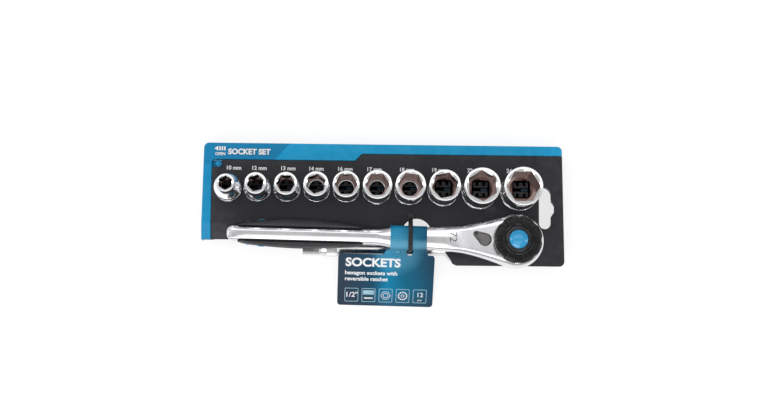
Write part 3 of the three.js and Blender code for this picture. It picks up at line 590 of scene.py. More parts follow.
joints = {joint["name"]: joint for joint in frame["joints"]}
drive_axis = Vector(joints["drive_spin"]["pos_m"])
lever_axis = Vector(joints["lever_flip"]["pos_m"])
to_drive = drive_axis - lever_axis
wrench = Matrix.Translation((drive_axis.x, drive_axis.y, (face_z + rest_gap) * MM)) @ Matrix.Rotation(
    math.atan2(to_drive.y, to_drive.x), 4, "Z")
lever_x = -to_drive.to_2d().length / MM

head_radius = 22
head_top = 18
handle_low, handle_top, handle_half = 4.5, 17, 6.2
butt = -239


def flowing(points, steps):
    """Points along a smooth curve through a few given ones."""
    ends = [points[0], *points, points[-1]]
    curve = []
    for a, b, c, d in zip(ends, ends[1:], ends[2:], ends[3:]):
        for i in range(steps):
            t = i / steps
            curve.append(tuple(0.5 * (2 * q + (r - p) * t + (2 * p - 5 * q + 4 * r - s) * t * t
                                      + (3 * q - p - 3 * r + s) * t ** 3)
                               for p, q, r, s in zip(a, b, c, d)))
    return curve + [tuple(points[-1])]


def blend_between(x, start, end):
    """From 0 at start to 1 at end, smoothly."""
    t = min(max((x - start) / (end - start), 0), 1)
    return t * t * (3 - 2 * t)


def shrink(outline, by):
    """A closed outline with each point moved inwards; by gives the distance at a point."""
    moved = []
    for i, (x, y) in enumerate(outline):
        before, after = outline[i - 1], outline[(i + 1) % len(outline)]
        along = Vector((after[0] - before[0], after[1] - before[1])).normalized()
        moved.append((x - along.y * by(x), y + along.x * by(x)))
    return moved


head_arc = arc(head_radius, range(3, 111, 4))
neck_line = flowing([(-11.5, 19.6), (-24, 16.1), (-37, 12.9), (-50, 10.7), (-72, 9.1), (-96, 9.0),
                     (-104, 8.0), (-110, handle_half + 0.7), (-116, handle_half + 0.1), (-132, handle_half),
                     (-170, handle_half), (-230, handle_half)], 6)
butt_arc = arc(5.2, range(100, 181, 10), butt + 5.2, 1)


def both_sides(half_line):
    """A closed outline, anticlockwise from the tip, from its upper half."""
    return [(x, y) for x, y in half_line] + [(x, -y) for x, y in reversed(half_line)]


full_line = both_sides(head_arc + neck_line + butt_arc)



def body_low(x):
    return handle_low * blend_between(x, -38, -52)


def body_top(x):
    return head_top - (head_top - handle_top) * blend_between(x, -44, -50)


def slope_width(x):
    """Width of the sloping edge between the body's top and its side."""
    return 3.0 - 1.2 * blend_between(x, -40, -70)


count = len(full_line)
rows = []
for inward, rise in ((1.6, 0), (0.6, 0.25), (0.12, 0.8), (0, 1.6)):
    ring = shrink(full_line, lambda x: inward)
    rows.append([(px, py, body_low(px) + rise) for px, py in ring])
for inward, drop in ((0, 1.2), (0.08, 1.0), (0.94, 0.07), (1.1, 0)):
    ring = shrink(full_line, lambda x: inward * slope_width(x))
    rows.append([(px, py, body_top(px) - drop * slope_width(px)) for px, py in ring])
points = [p for row in rows for p in row]
faces = []
for i in range(len(rows) - 1):
    faces += [(i * count + k, i * count + (k + 1) % count, (i + 1) * count + (k + 1) % count,
               (i + 1) * count + k) for k in range(count)]


def close_over(ring_start, height, across=12):
    """Fills a ring from side to side, point by point, with a height added over its width."""
    half = count // 2
    grid = []
    for k in range(half):
        one, other = points[ring_start + k], points[ring_start + count - 1 - k]
        line = [ring_start + k]
        for j in range(1, across):
            t = j / across
            x, y = one[0] + (other[0] - one[0]) * t, one[1] + (other[1] - one[1]) * t
            points.append((x, y, one[2] + (other[2] - one[2]) * t + height(x, y, t)))
            line.append(len(points) - 1)
        grid.append(line + [ring_start + count - 1 - k])
    for a, b in zip(grid, grid[1:]):
        faces.extend((a[j], a[j + 1], b[j + 1], b[j]) for j in range(across))
    for line in (grid[0], grid[-1]):
        faces.append(tuple(line))


def ridge(t, first, last):
    """Flat between two shares of the width, falling in a curve to 0 at both sides; it leans a little."""
    off = max((first - t) / first, (t - last) / (1 - last), 0)
    return (1 - off ** 1.5) * (1 - 0.18 * min(max((t - first) / (last - first), 0), 1))


def crown(x, y, t):
    """The handle's top is flat above its middle with a slope on each side, and so is the neck's."""
    handle = blend_between(x, -106, -118)
    neck = blend_between(x, -46, -62) * (1 - handle)
    fade = 1 - blend_between(x, butt + 12, butt + 3)
    return 0.72 * handle * fade * ridge(t, 0.2, 0.54) + 0.78 * neck * ridge(t, 0.4, 0.7)


close_over(0, lambda x, y, t: 0)
close_over((len(rows) - 1) * count, crown)
ratchet_chrome = plating("ratchet_chrome", (0.70, 0.69, 0.71), (0.86, 0.85, 0.86), 0.14, 0.22, 0.006, 28)
body = build("ratchet_forging", points, faces, ratchet_chrome, wrench, sharp=30)


def bore(piece, cutter_points, cutter_faces, place):
    """Cuts a closed shape out of a piece."""
    cutter = build("cutter", cutter_points, cutter_faces, piece.data.materials[0], place)
    cut = piece.modifiers.new("cut", "BOOLEAN")
    cut.operation, cut.solver, cut.object = "DIFFERENCE", "EXACT", cutter
    bpy.context.view_layer.update()
    shown = piece.evaluated_get(bpy.context.evaluated_depsgraph_get())
    mesh = bpy.data.meshes.new_from_object(shown)
    piece.modifiers.clear()
    piece.data = mesh
    bpy.data.objects.remove(cutter)
    return soften(piece, 30)


plate_line = [(x * 0.905, y * 0.905) for x, y in head_arc]
plate_line += [(-11, 17.6), (-24, 14.2), (-37, 11.1), (-44.2, 9.5)]
lid_seat = plate_shape(both_sides(plate_line), -1, 2.3)
gear_room = turned([(14.9, -1), (14.9, 13.5)], 72)
wheel_hole = turned([(9.2, 13), (9.2, 20)], 72)
for points, faces in (lid_seat, gear_room, wheel_hole):
    body = bore(body, points, faces, wrench)
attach(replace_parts(body, "ratchet_body"), "ratchet")

# Fine lines left by grinding, drawn out along x.
steel_lines, given, out = shader_group("grinding_lines", {"Scale": 400}, ["Lines"])
where = add_node(steel_lines, "TexCoord").outputs["Object"]
stretch = add_node(steel_lines, "VectorMath", {0: where, 1: (0.04, 1, 1)}, operation="MULTIPLY")
lines = add_node(steel_lines, "TexNoise", {"Vector": stretch.outputs[0], "Scale": given.outputs["Scale"],
                                           "Detail": 3})
steel_lines.links.new(lines.outputs[0], out.inputs["Lines"])


def ground_steel(name, dark, light, roughness, scale=600):
    """Bare ground steel with fine lines."""
    made, tree, shader = blank_material(name, Metallic=1.0)
    texture = use_group(tree, steel_lines, Scale=scale)
    marks = use_group(tree, haze_group, Scale=60)
    tree.links.new(colour(tree, marks.outputs["Haze"], dark, light), shader.inputs["Base Color"])
    uneven(tree, texture.outputs["Lines"], shader, roughness - 0.06, roughness + 0.1)
    dented(tree, texture.outputs["Lines"], shader, 0.3, 0.004)
    return made


lid = rounded_copy("back_plate", "head_lid", ratchet_chrome, 0.2)
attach(lid, "ratchet")
inner_steel = ground_steel("inner_steel", (0.40, 0.40, 0.41), (0.56, 0.56, 0.57), 0.32)
screw_head = 2.1
star_steps = 24
star_low = 0.72  # the star recess's valleys, as a share of its points
for number in (1, 2, 3):
    low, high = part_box(f"plate_screw_{number}")
    centre = ((low.x + high.x) / 2 / MM, (low.y + high.y) / 2 / MM)
    foot = low.z / MM
    star = [(0.95, foot + 0.6), (1.0, foot + 0.02)]
    plain = [(1.0, foot), (screw_head - 0.25, foot), (screw_head, foot + 0.25), (screw_head, foot + 0.8),
             (1.2, foot + 0.82), (1.2, high.z / MM)]
    rows = []
    for r, z in star + plain:
        rows.append([])
        for k in range(star_steps):
            angle = 2 * math.pi * k / star_steps
            out = r * (star_low if (r, z) in star and k % 2 else 1)
            rows[-1].append((centre[0] + out * math.cos(angle), centre[1] + out * math.sin(angle), z))
    points, faces = skin(rows)
    screw = build(f"lid_screw_{number}", points, faces, inner_steel, sharp=40)
    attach(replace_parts(screw, f"plate_screw_{number}"), "ratchet")

# The stamped number is dark in its strokes.
stamp_black = moulding("stamp_shadow", (0.06, 0.06, 0.065), (0.10, 0.10, 0.11), (0.1, 0.1, 0.1), 0.7, edge=0)
tooth_count = lettering("tooth_count", "72", 6.0, (-53, 1.4, handle_top + 0.72), stamp_black, turn=-90,
                        bold=-0.015, lift=0.08, spin=wrench)
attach(tooth_count, "ratchet")

# ---- Drive gear, thumb wheel and release button ----
# The toothed gear and its square are one steel piece. A black moulded wheel with scallops and a
# ribbed rim is pressed on its top to spin it by hand, and the blue dome in its middle frees the socket.

for node in ("drive_gear", "retaining_ring"):
    piece = rounded_copy(node, node.replace("_", "-") + "_fine", inner_steel, 0.12)
    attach(piece, "drive")

wheel_radius = 20
wheel_low, wheel_high = 19.6, 29
well_radius = 7.9
lobes = 8
wheel_steps = 288


def wheel_edge(angle, ribs):
    """The wheel's rim: scalloped between the lobes and ribbed all round."""
    wave = math.cos(lobes * angle)
    rib = ribs * (0.5 + 0.5 * math.cos(72 * angle))
    return wheel_radius - 1.1 * max(0, wave - 0.35) - rib


def pocket(angle, radius):
    """How deep the finger pockets in the wheel's face are."""
    across = blend_between(math.cos(lobes * angle), 0.15, 0.5)
    outward = blend_between(radius, 12.6, 13.6)
    return 1.3 * across * outward


wheel_angles = [2 * math.pi * k / wheel_steps for k in range(wheel_steps)]
rows = []
for radius, z in ((well_radius + 2, wheel_low), (16, wheel_low), (18.4, wheel_low + 0.2)):
    rows.append([(radius, z) for angle in wheel_angles])
for inward, z, ribs in ((0.6, wheel_low + 0.5, 0), (0, wheel_low + 1.3, 0.5), (0, wheel_high - 2.6, 0.5),
                        (0.5, wheel_high - 1.7, 0.4), (1.5, wheel_high - 1.0, 0.1)):
    rows.append([(wheel_edge(angle, ribs) - inward, z - 0.5 * pocket(angle, 18)) for angle in wheel_angles])
for radius, drop in ((17.6, 0.55), (16.2, 0.4), (14.6, 0.4), (13.6, 0.4), (13.1, 0.4), (12.6, 0.4),
                     (11.8, 0.5), (11.5, 0.9), (11.1, 0.9), (10.8, 0.2), (10.2, 0), (8.8, 0), (8.2, 0.3),
                     (well_radius, 0.9), (well_radius, 4), (well_radius + 2, 4.2)):
    rows.append([(radius, wheel_high - drop - pocket(angle, radius)) for angle in wheel_angles])
rows = [[(r * math.cos(angle), r * math.sin(angle), z) for angle, (r, z) in zip(wheel_angles, row)]
        for row in rows]
points, faces = skin(rows, closed=True)
wheel_black = moulding("wheel_black", (0.003, 0.003, 0.0035), (0.008, 0.008, 0.009), (0.16, 0.16, 0.17),
                       0.2, grain=1600, depth=0.006, edge=1.0, shine=0.24)
wheel = build("thumb_wheel_fine", points, faces, wheel_black, wrench, sharp=40)
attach(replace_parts(wheel, "thumb_wheel"), "drive")

button_radius = 7.6
button_low, button_top = 26.2, 31
crown_rise = 2.6
dome_span = 64  # degrees of arc from the dome's middle to its rounded edge
shoulder = button_top - crown_rise
profile = [(button_radius + 1, button_low), (button_radius + 1, button_low + 1),
           (button_radius, button_low + 1), (button_radius, shoulder)]
profile += arc(0.7, (25, 50, 70), button_radius - 0.7, shoulder)
full = math.radians(dome_span)
for a in range(60, 0, -6):
    angle = math.radians(a)
    profile.append(((button_radius - 0.75) * math.sin(angle) / math.sin(full),
                    button_top - (crown_rise - 0.7) * (1 - math.cos(angle)) / (1 - math.cos(full))))
points, faces = turned(profile, 72)
button_blue, tree, shader = blank_material("button_blue", Coat_Weight=0.6, Coat_Roughness=0.08)
texture = use_group(tree, grain_group, Scale=900)
tree.links.new(colour(tree, texture.outputs["Mottle"], (0.004, 0.25, 0.50), (0.008, 0.33, 0.63)),
               shader.inputs["Base Color"])
uneven(tree, texture.outputs["Mottle"], shader, 0.3, 0.2)
button = build("release_dome", points, faces, button_blue, wrench, sharp=40)
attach(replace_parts(button, "release_button"), "release")
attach(rounded_copy("release_pin", "release_pin_fine", inner_steel, 0.12), "release")

ball_radius = 2
for node, body_name in (("drive_ball", "drive_ball"), ("bar_ball", "bar_ball")):
    low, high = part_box(node)
    middle = (low + high) / 2
    points, faces = turned(arc(ball_radius, range(-82, 90, 9)), 32)
    ball = build(node + "_fine", points, faces, inner_steel, Matrix.Translation(middle), sharp=60)
    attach(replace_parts(ball, node), body_name)

# ---- Reversing lever, pawl and springs ----
# A small steel lever lies flat on the head. Its shaft holds a sprung plunger that throws the pawl
# from one side of the gear to the other.

lever_turn = 149
lever_low, lever_high = head_top + 0.3, head_top + 3.3
disc_radius, tail_reach, tip_radius = 4.9, 8.6, 1.9
lever_line = arc(disc_radius, range(62, 299, 8)) + arc(tip_radius, range(-70, 71, 10), tail_reach)
rows = []
for inward, z in ((0.4, lever_low), (0, lever_low + 0.4), (0, lever_high - 0.8), (0.2, lever_high - 0.3),
                  (0.6, lever_high), (0.9, lever_high), (1.05, lever_high - 0.25)):
    rows.append([(x, y, z) for x, y in shrink(lever_line, lambda x: inward)])
points, faces = skin(rows)
lever_place = wrench @ Matrix.Translation((lever_x * MM, 0, 0)) @ Matrix.Rotation(
    math.radians(lever_turn), 4, "Z")
lever_steel = ground_steel("lever_steel", (0.11, 0.105, 0.105), (0.22, 0.21, 0.21), 0.36, 500)
lever = build("reverse_lever_fine", points, faces, lever_steel, lever_place, sharp=35)
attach(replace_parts(lever, "reverse_lever"), "lever")
# A thin black ring just outside the lever's edge: painted shadow, a dark sheet standing in for the shade gap
# round the lever.
shadow_ring_line = shrink(lever_line, lambda x: -0.5)
points, faces = plate_shape(shadow_ring_line, lever_low - 0.26, lever_low + 0.15)
shadow_ring = build("lever_shadow_ring", points, faces, wheel_black, lever_place)
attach(shadow_ring, "lever")
points, faces = turned([(3, 5), (3, lever_low + 0.2)], 36)
shaft = build("lever_shaft", points, faces, inner_steel, lever_place)
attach(shaft, "lever")
profile = [(1.25, lever_high - 0.3), (1.25, lever_high + 0.3), (1.0, lever_high + 0.62),
           (0.5, lever_high + 0.75)]
points, faces = turned(profile, 28, (tail_reach, 0))
tip = build("lever_tip", points, faces, wheel_black, lever_place)
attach(tip, "lever")

for node, body_name in (("pawl", "pawl"), ("lever_plunger", "lever")):
    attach(rounded_copy(node, node + "_fine", inner_steel, 0.12), body_name)

spring_steel = ground_steel("spring_steel", (0.42, 0.42, 0.43), (0.6, 0.6, 0.6), 0.26, 900)
for node in ("lock_button_spring", "release_spring", "plunger_spring", "bar_ball_spring"):
    frame["nodes"][node].data.materials.clear()
    frame["nodes"][node].data.materials.append(spring_steel)

# ---- Grip ----
# Two soft black lens-shaped halves are moulded along the sides of the handle core, each with a blue
# line let into a groove along its middle.

grip_start, grip_end = -230, -127
grip_low, grip_high = 2.6, 18.6
groove_low, groove_high = 9.4, 12
grip_line = flowing([(grip_start, 7.3), (-222, 9.9), (-205, 12.2), (-180, 13.7), (-152, 12), (-136, 9.9),
                     (grip_end, 8.4)], 8)
grip_inner = handle_half + 0.3
lower_share = 0.62  # the lower half is slimmer


def grip_side(side):
    """The outer line of one grip half."""
    share = 1 if side > 0 else lower_share
    return [(x, grip_inner + (outer - grip_inner) * share) for x, outer in grip_line]


def pinched(x):
    """How far a section of the grip is drawn in near its two ends."""
    end = min(x - grip_start, grip_end - x)
    return 1 - 0.35 * (1 - min(end / 5, 1)) ** 2


def grip_rows(side):
    """Sections of one grip half from the handle's butt towards the neck."""
    rows = []
    middle = (grip_low + grip_high) / 2
    for x, outer in grip_side(side):
        half = (grip_high - grip_low) / 2 * pinched(x)
        reach = (outer - grip_inner) * pinched(x)
        angles = [math.radians(angle) for angle in range(-80, -19, 12)]
        below = [(grip_inner + reach * math.cos(a) ** 0.8, middle + half * math.sin(a)) for a in angles]
        above = [(y, 2 * middle - z) for y, z in reversed(below)]
        edge = grip_inner + reach
        groove = [(edge, groove_low - 0.3), (edge - 0.7, groove_low), (edge - 0.7, groove_high),
                  (edge, groove_high + 0.3)]
        section = [(grip_inner, middle - half * 0.92), *below, *groove, *above,
                   (grip_inner, middle + half * 0.92)]
        rows.append([(x, side * y, z) for y, z in section])
    return rows


def inlay_rows(side):
    """The blue line: it lies in its groove and stands proud only in two places near the butt."""
    rows = []
    for x, outer in grip_side(side)[2:-2]:
        edge = grip_inner + (outer - grip_inner) * pinched(x)
        proud = 1.3 * max(1 - abs(x + 211) / 6, 0) + 0.9 * max(1 - abs(x + 222) / 4, 0) - 0.4
        proud = min(proud, 0.7)
        section = [(edge - 1.1, groove_low + 0.1), (edge + proud - 0.4, groove_low + 0.1),
                   (edge + proud, groove_low + 0.6), (edge + proud, groove_high - 0.6),
                   (edge + proud - 0.4, groove_high - 0.1), (edge - 1.1, groove_high - 0.1)]
        rows.append([(x, side * y, z) for y, z in section])
    return rows


grip_black = moulding("grip_black", (0.017, 0.017, 0.019), (0.032, 0.032, 0.035), (0.07, 0.07, 0.075), 0.44,
                      grain=1100, depth=0.02, edge=0.3)
inlay_blue = moulding("inlay_blue", (0.006, 0.20, 0.40), (0.012, 0.26, 0.50), (0.06, 0.36, 0.58), 0.5,
                      grain=1100, depth=0.012, edge=0.3)
for side, word in ((1, "upper"), (-1, "lower")):
    points, faces = skin(grip_rows(side))
    grip = build(f"grip_{word}_fine", points, faces, grip_black, wrench, sharp=40)
    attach(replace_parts(grip, f"grip_{word}"), "ratchet")
    points, faces = skin(inlay_rows(side))
    line = build(f"inlay_{word}_fine", points, faces, inlay_blue, wrench, sharp=40)
    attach(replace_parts(line, f"inlay_{word}"), "ratchet")

# ---- Hang card ----
# Glossy printed card with its strap folded up over the ratchet's neck. The print is a dark to bright
# blue wash with fine rings, a title, two lines of words and five small signs.

card_left, card_right = -147, -67
strap_side, strap_over = 9.6, 17.5
fold = (-13.0, 4.4)
card_foot = (-54, -23.8)
card_thick = 0.6
card_corner = 2.6

card_print, tree, shader = blank_material("card_print", Roughness=0.36, Specular_IOR_Level=0.12,
                                          Coat_Weight=0.06, Coat_Roughness=0.1)
where = add_node(tree, "TexCoord").outputs["Object"]
parts = add_node(tree, "SeparateXYZ", {0: where})
warm = add_node(tree, "TexNoise", {"Vector": where, "Scale": 22, "Detail": 2})
wander = maths(tree, "MULTIPLY", warm.outputs[0], 0.03)
across = remap(tree, maths(tree, "ADD", parts.outputs["X"], wander), -0.02, 0.06)
wash = add_node(tree, "ValToRGB", {0: across})
stops = wash.color_ramp.elements
for place in (0.3, 0.52, 0.72):
    stops.new(place)
for stop, tint in zip(stops, ((0.026, 0.045, 0.075), (0.004, 0.060, 0.115), (0.001, 0.21, 0.385),
                              (0.001, 0.12, 0.22), (0.008, 0.05, 0.095))):
    stop.color = (*tint, 1)
# The wash darkens to navy along the card's foot. A band over the strap's bend is painted lighter: a painted
# highlight for the gloss reflection there.
foot_shade = remap(tree, parts.outputs["Y"], -0.070, -0.086, 0, 0.8)
printed = colour(tree, foot_shade, wash.outputs[0], (0.026, 0.040, 0.066))
from_sheen_band = maths(tree, "ABSOLUTE", maths(tree, "ADD", parts.outputs["Y"], 0.0355))
printed = colour(tree, remap(tree, from_sheen_band, 0.005, 0.001, 0, 0.55), printed, (0.16, 0.40, 0.55))
# Fine rings spread from a point beside the strap and fade with distance.
from_centre = add_node(tree, "VectorMath", {0: where, 1: (-0.012, 0.043, -0.036)}, operation="ADD").outputs[0]
rings = add_node(tree, "TexWave", {"Vector": from_centre, "Scale": 260, "Distortion": 0.4},
                 wave_type="RINGS", rings_direction="SPHERICAL")
away = add_node(tree, "VectorMath", {0: from_centre}, operation="LENGTH")
strength = remap(tree, away.outputs["Value"], 0.024, 0.014, 0, 0.6)
printed = colour(tree, maths(tree, "MULTIPLY", rings.outputs[1], strength), printed, (0.14, 0.42, 0.58))
tree.links.new(printed, shader.inputs["Base Color"])
fibre = add_node(tree, "TexNoise", {"Vector": where, "Scale": 700, "Detail": 3})
dented(tree, fibre.outputs[0], shader, 0.15, 0.01)

slope = (fold[1] - card_foot[1]) / (fold[0] - card_foot[0])


def on_card(y):
    """Height of the card's middle at a distance y from the ratchet's axis."""
    return fold[1] + (y - fold[0]) * slope


def corner_cut(y):
    """How much a rounded corner takes off the card's width at y."""
    cut = 0
    for edge in (card_foot[0], fold[0] - 0.5):
        inside = card_corner - abs(y - edge)
        if inside > 0:
            cut = card_corner - math.sqrt(max(card_corner ** 2 - inside ** 2, 0))
    return cut


def sheet_shape(lines, across=16):
    """A thin sheet over lines, each (left x, right x, y, z), with its thickness both ways."""
    rows = []
    for i, (left, right, y, z) in enumerate(lines):
        before, after = lines[max(i - 1, 0)], lines[min(i + 1, len(lines) - 1)]
        along = Vector((after[2] - before[2], after[3] - before[3])).normalized()
        out_y, out_z = -along.y * card_thick / 2, along.x * card_thick / 2
        top = [(left + (right - left) * k / across, y + out_y, z + out_z) for k in range(across + 1)]
        under = [(x, y - out_y, z - out_z) for x, _, _ in reversed(top)]
        rows.append(top + under)
    return skin(rows)


def fine_steps(low, high):
    """Places from low to high, close together near both ends."""
    ends = [card_corner * (1 - math.cos(math.radians(a))) for a in range(0, 91, 10)]
    middle = [low + card_corner + (high - low - 2 * card_corner) * t / 8 for t in range(1, 8)]
    return [low + e for e in ends] + middle + [high - e for e in reversed(ends)]


lines = [(card_left + corner_cut(y), card_right - corner_cut(y), y, on_card(y))
         for y in fine_steps(card_foot[0], fold[0] - 0.5)]
points, faces = sheet_shape(lines, 24)
card = build("card", points, faces, card_print, wrench, sharp=50)
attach(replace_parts(card, "hang_card"), "ratchet")

tie_x = -88
hole_half, hole_top, hole_arc = 2.7, -8.6, -11.7
tie_hole = [(tie_x - hole_half, hole_top), (tie_x - hole_half, hole_arc)]
tie_hole += [(tie_x - hole_half * math.cos(math.radians(a)), hole_arc - 2.1 * math.sin(math.radians(a)))
             for a in range(15, 180, 15)]
tie_hole += [(tie_x + hole_half, hole_arc), (tie_x + hole_half, hole_top)]
hole_points, hole_faces = plate_shape(tie_hole, -4, 13)
card.data = bore(card, hole_points, hole_faces, wrench).data

bend = 3.2
route = [(fold[0] - 0.4, on_card(fold[0] - 0.4)), (fold[0] + 0.6, fold[1] + 0.6), (-strap_side - 0.6, 6.6),
         (-strap_side - 0.1, 8.6), (-strap_side, 11)]
route = flowing(route, 4)
turn = arc(bend, range(0, 91, 10))
route += [(-strap_side + bend - y, strap_over - bend + z) for y, z in turn]
route += [(y, strap_over + 0.35 * (1 - (y / 6.5) ** 2)) for y in (-4, -2, 0, 2, 4)]
route += [(strap_side - bend + y, strap_over - bend + z) for y, z in reversed(turn)]
route += [(strap_side, 10), (strap_side, 6)]
lines = []
for i, (y, z) in enumerate(route):
    up = min(i / 16, 1)
    lines.append((-110.5 + 6 * up, -72.5 - 2 * up, y, z))
points, faces = sheet_shape(lines, 20)
strap = build("card_strap", points, faces, card_print, wrench, sharp=50)
strap = bore(strap, hole_points, hole_faces, wrench)
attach(strap, "ratchet")

card_spin = wrench @ Matrix.Translation((0, fold[0] * MM, fold[1] * MM)) @ Matrix.Rotation(
    math.atan(slope), 4, "X")
middle_x = (card_left + card_right) / 2
white_ink = moulding("white_ink", (0.78, 0.79, 0.8), (0.86, 0.87, 0.88), (0.9, 0.9, 0.9), 0.4, depth=0.002,
                     edge=0)
pale_ink = moulding("pale_blue_ink", (0.30, 0.52, 0.62), (0.38, 0.60, 0.70), (0.5, 0.7, 0.8), 0.4,
                    depth=0.002, edge=0)
ink = card_thick / 2 + 0.02  # height of the print above the middle of the card


def outline_mark(piece, loops, material, x, y):
    """A flat printed mark from closed loops, given as outer and inner pairs, about a place on the card."""
    points, faces = [], []
    for outer, inner in loops:
        base = len(points)
        n = len(outer)
        points += [(x + px, y + py, ink + 0.02) for px, py in outer + inner]
        faces += [(base + k, base + (k + 1) % n, base + n + (k + 1) % n, base + n + k) for k in range(n)]
    mark = build(piece, points, faces, material, card_spin)
    film = mark.modifiers.new("film", "SOLIDIFY")
    film.thickness, film.offset = 0.03 * MM, 0
    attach(mark, "ratchet")


def card_words(piece, words, height, x, y, bold, side="CENTER"):
    """White words printed on the card."""
    printed = lettering(piece, words, height, (x, y, ink), white_ink, bold=bold, lift=0.04, spin=card_spin,
                        side=side)
    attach(printed, "ratchet")


card_words("card_title", "SOCKETS", 7.6, card_left + 6.2, -8.6, 0.05, "LEFT")
card_words("card_words_1", "hexagon sockets with", 3.5, card_left + 5.8, -18.4, 0.04, "LEFT")
card_words("card_words_2", "reversible ratchet", 3.5, card_left + 5.8, -24.2, 0.04, "LEFT")


def ring(radius, points=36, wave=0, teeth=0):
    """A circle, or with a wave in its radius the outline of a toothed one."""
    outline = []
    for k in range(points):
        angle = 2 * math.pi * k / points
        r = radius + wave * math.cos(teeth * angle)
        outline.append((r * math.cos(angle), r * math.sin(angle)))
    return outline


def sign_outline(half, corner):
    """A rounded frame, a little taller than wide."""
    loop = []
    for cx, cy, start in ((1, 1, 0), (-1, 1, 90), (-1, -1, 180), (1, -1, 270)):
        corner_line = arc(corner, range(start, start + 91, 15), cx * (half - corner), cy * (half - corner))
        loop += [(px, 1.15 * py) for px, py in corner_line]
    return loop


half = 5.7  # half a sign's width
sign_y, sign_pitch = -39.6, 14.3
closed_up = 0.001  # how far a full mark's inner loop is shrunk


def full(left, right, low, high, middle):
    """A full rectangle, whose inner loop is shrunk to a point at a height in it."""
    outline = oblong(left, right, low, high)
    return outline, [(px * closed_up, middle + py * closed_up) for px, py in outline]


def sign_frame(number):
    """The frame of a sign, counted from the left. It gives the sign's middle."""
    x = middle_x - 28.2 + sign_pitch * number
    outline_mark(f"sign_frame_{number + 1}", [(sign_outline(half, 0.9), sign_outline(half - 0.45, 0.6))],
                 pale_ink, x, sign_y)
    return x


card_words("sign_drive_size", "1/2\"", 4.6, sign_frame(0), sign_y, 0.02)
x = sign_frame(1)
outline_mark("sign_block", [full(1 - half, half - 1, 0.4, half - 1, 3)], pale_ink, x, sign_y)
outline_mark("sign_strip", [full(2 - half, half - 2, -3.6, -2.2, -2.9)], white_ink, x, sign_y)
outline_mark("sign_hexagon", [(ring(4.3, 6), ring(4.3 * 0.88, 6)), (ring(2.3), ring(1.8))], white_ink,
             sign_frame(2), sign_y)
outline_mark("sign_gear", [(ring(3.9, 96, 0.45, 12), ring(3.0, 96)), (ring(1.5), ring(1.0))], white_ink,
             sign_frame(3), sign_y)
x = sign_frame(4)
card_words("sign_count", "12", 4.2, x, sign_y + 1.2, 0.01)
card_words("sign_pieces", "pcs", 1.9, x, sign_y - 3.6, 0.01)

# ---- Cable tie ----
# A black nylon strap drawn round the neck and through a half-round hole in the card, with its
# locking head behind the neck.

tie_width, tie_thick = 3.4, 1.2
tie_far = 17.5
tie_side = strap_side + 0.9
tie_over = strap_over + 1.1
path = flowing([(tie_far - 1, handle_low + 2), (tie_far - 1, handle_low + 5), (12.6, tie_over - 4.2),
                (8.4, tie_over - 0.5), (4, tie_over + 0.1), (-4, tie_over + 0.1),
                (-tie_side + 2.2, tie_over - 0.3), (-tie_side, tie_over - 2.4), (-tie_side - 0.1, 12),
                (-tie_side, 8), (-tie_side + 0.8, handle_low + 1.2), (-6, handle_low - 0.9),
                (4, handle_low - 0.9), (tie_far - 3, handle_low - 0.6)], 5)
rows = []
for i, (y, z) in enumerate(path):
    before, after = path[i - 1], path[(i + 1) % len(path)]
    along = Vector((after[0] - before[0], after[1] - before[1])).normalized()
    out_y, out_z = along.y, -along.x
    section = []
    for across, off in ((-0.5, -0.35), (-0.42, -0.5), (0.42, -0.5), (0.5, -0.35), (0.5, 0.35), (0.42, 0.5),
                        (-0.42, 0.5), (-0.5, 0.35)):
        rise = off * tie_thick
        section.append((tie_x + across * tie_width, y + out_y * rise, z + out_z * rise))
    rows.append(section)
points, faces = skin(rows, closed=True)
tie_black = moulding("tie_black", (0.006, 0.006, 0.007), (0.010, 0.010, 0.011), (0.04, 0.04, 0.04), 0.42,
                     grain=1500, depth=0.004, edge=0.4)
band = build("cable_tie_band", points, faces, tie_black, wrench, sharp=50)
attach(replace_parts(band, "cable_tie"), "ratchet")
knot_half = tie_width / 2 + 1
knot_line = oblong(tie_x - knot_half, tie_x + knot_half, tie_far - 0.5, tie_far + 3.5)
points, faces = plate_shape(knot_line, handle_low - 0.6, handle_low + 4.9)
knot = build("cable_tie_head", points, faces, tie_black, wrench, sharp=50)
edge = knot.modifiers.new("edges", "BEVEL")
edge.width, edge.segments = 0.5 * MM, 3
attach(knot, "ratchet")

# ---- Extension bar ----
# A turned and chromed bar: a male square with a detent ball, a collar with a knurled band, a slim shaft
# and a thick end with the female square. It is clipped behind the handle.

low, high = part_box("extension_bar")
bar_length = (high.x - low.x) / MM
bar_radius = (high.z - low.z) / 2 / MM
bar_place = Matrix.Translation((low.x, (low.y + high.y) / 2, (low.z + high.z) / 2)) @ Matrix.Rotation(
    math.radians(90), 4, "Y")
male_square, square_round, square_run = 12.6, 7.9, 14.8
collar, collar_end, shaft_radius = 7.2, 33.5, 6.2
thick_start = bar_length - 27
knurl_end = collar_end - 4.5
bar_steps = 96


def male(angle, k):
    return min(polygon_radius(angle, male_square, 4, 45), square_round)


def female(angle, k):
    return polygon_radius(angle, square_hole, 4, 45)


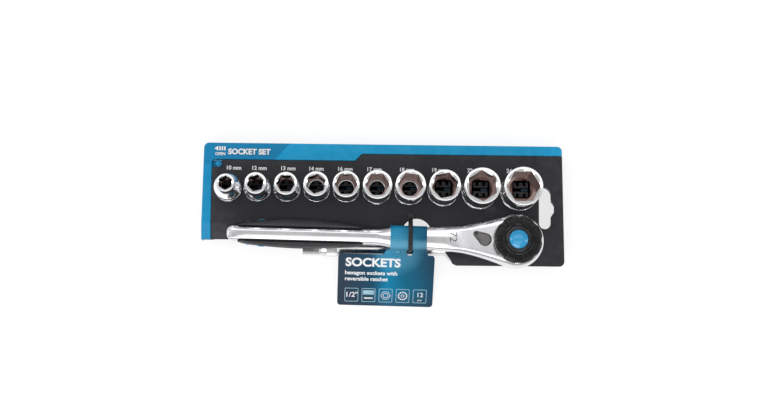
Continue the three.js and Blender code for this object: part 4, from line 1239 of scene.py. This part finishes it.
def wider(shape, by):
    return lambda angle, k: shape(angle, k) + by


def knurled(radius):
    return lambda angle, k: radius - (0.35 if k % 2 else 0)


# Radius, or shape round the axis, and distance from the male end.
profile = [(wider(male, -0.8), 0), (wider(male, -0.2), 0.3), (male, 0.9), (male, square_run - 0.6),
           (collar - 0.9, square_run), (collar, square_run + 1.3), (collar, square_run + 1.6),
           (collar, square_run + 4.4), (collar - 0.4, square_run + 4.7), (collar - 0.4, square_run + 5.2),
           (knurled(collar), square_run + 5.5), (knurled(collar), knurl_end), (collar - 0.4, knurl_end + 0.3),
           (collar - 0.4, knurl_end + 0.8), (collar, knurl_end + 1.1), (collar, collar_end - 1),
           (shaft_radius, collar_end + 1), (shaft_radius, thick_start - 4),
           (bar_radius - 0.2, thick_start - 0.2), (bar_radius, thick_start + 0.4),
           (bar_radius, thick_start + 6), (bar_radius - 0.4, thick_start + 6.3),
           (bar_radius - 0.4, thick_start + 6.9), (knurled(bar_radius), thick_start + 7.2),
           (knurled(bar_radius), thick_start + 14), (bar_radius - 0.4, thick_start + 14.3),
           (bar_radius, thick_start + 14.8), (bar_radius, bar_length - 0.9),
           (bar_radius - 0.3, bar_length - 0.2), (bar_radius - 0.9, bar_length),
           (wider(female, 0.4), bar_length), (female, bar_length - 0.5), (female, bar_length - square_depth)]
rows = []
for radius, x in profile:
    rows.append([])
    for k in range(bar_steps):
        angle = 2 * math.pi * k / bar_steps
        r = radius(angle, k) if callable(radius) else radius
        rows[-1].append((r * math.cos(angle), r * math.sin(angle), x))
points, faces = skin(rows)
bar_chrome = plating("bar_chrome", (0.72, 0.72, 0.73), (0.88, 0.88, 0.88), 0.2, 0.32)
bar = build("extension_bar_fine", points, faces, (bar_chrome, knurl_chrome), bar_place, sharp=28)
for face in bar.data.polygons:
    middle = (face.center - bar_place.translation) / MM
    wide = math.hypot(middle.y, middle.z)
    if 20.3 < middle.x < 29 or (7.2 < middle.x - thick_start < 14 and wide > 8):
        face.material_index = 1
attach(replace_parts(bar, "extension_bar"), "bar")
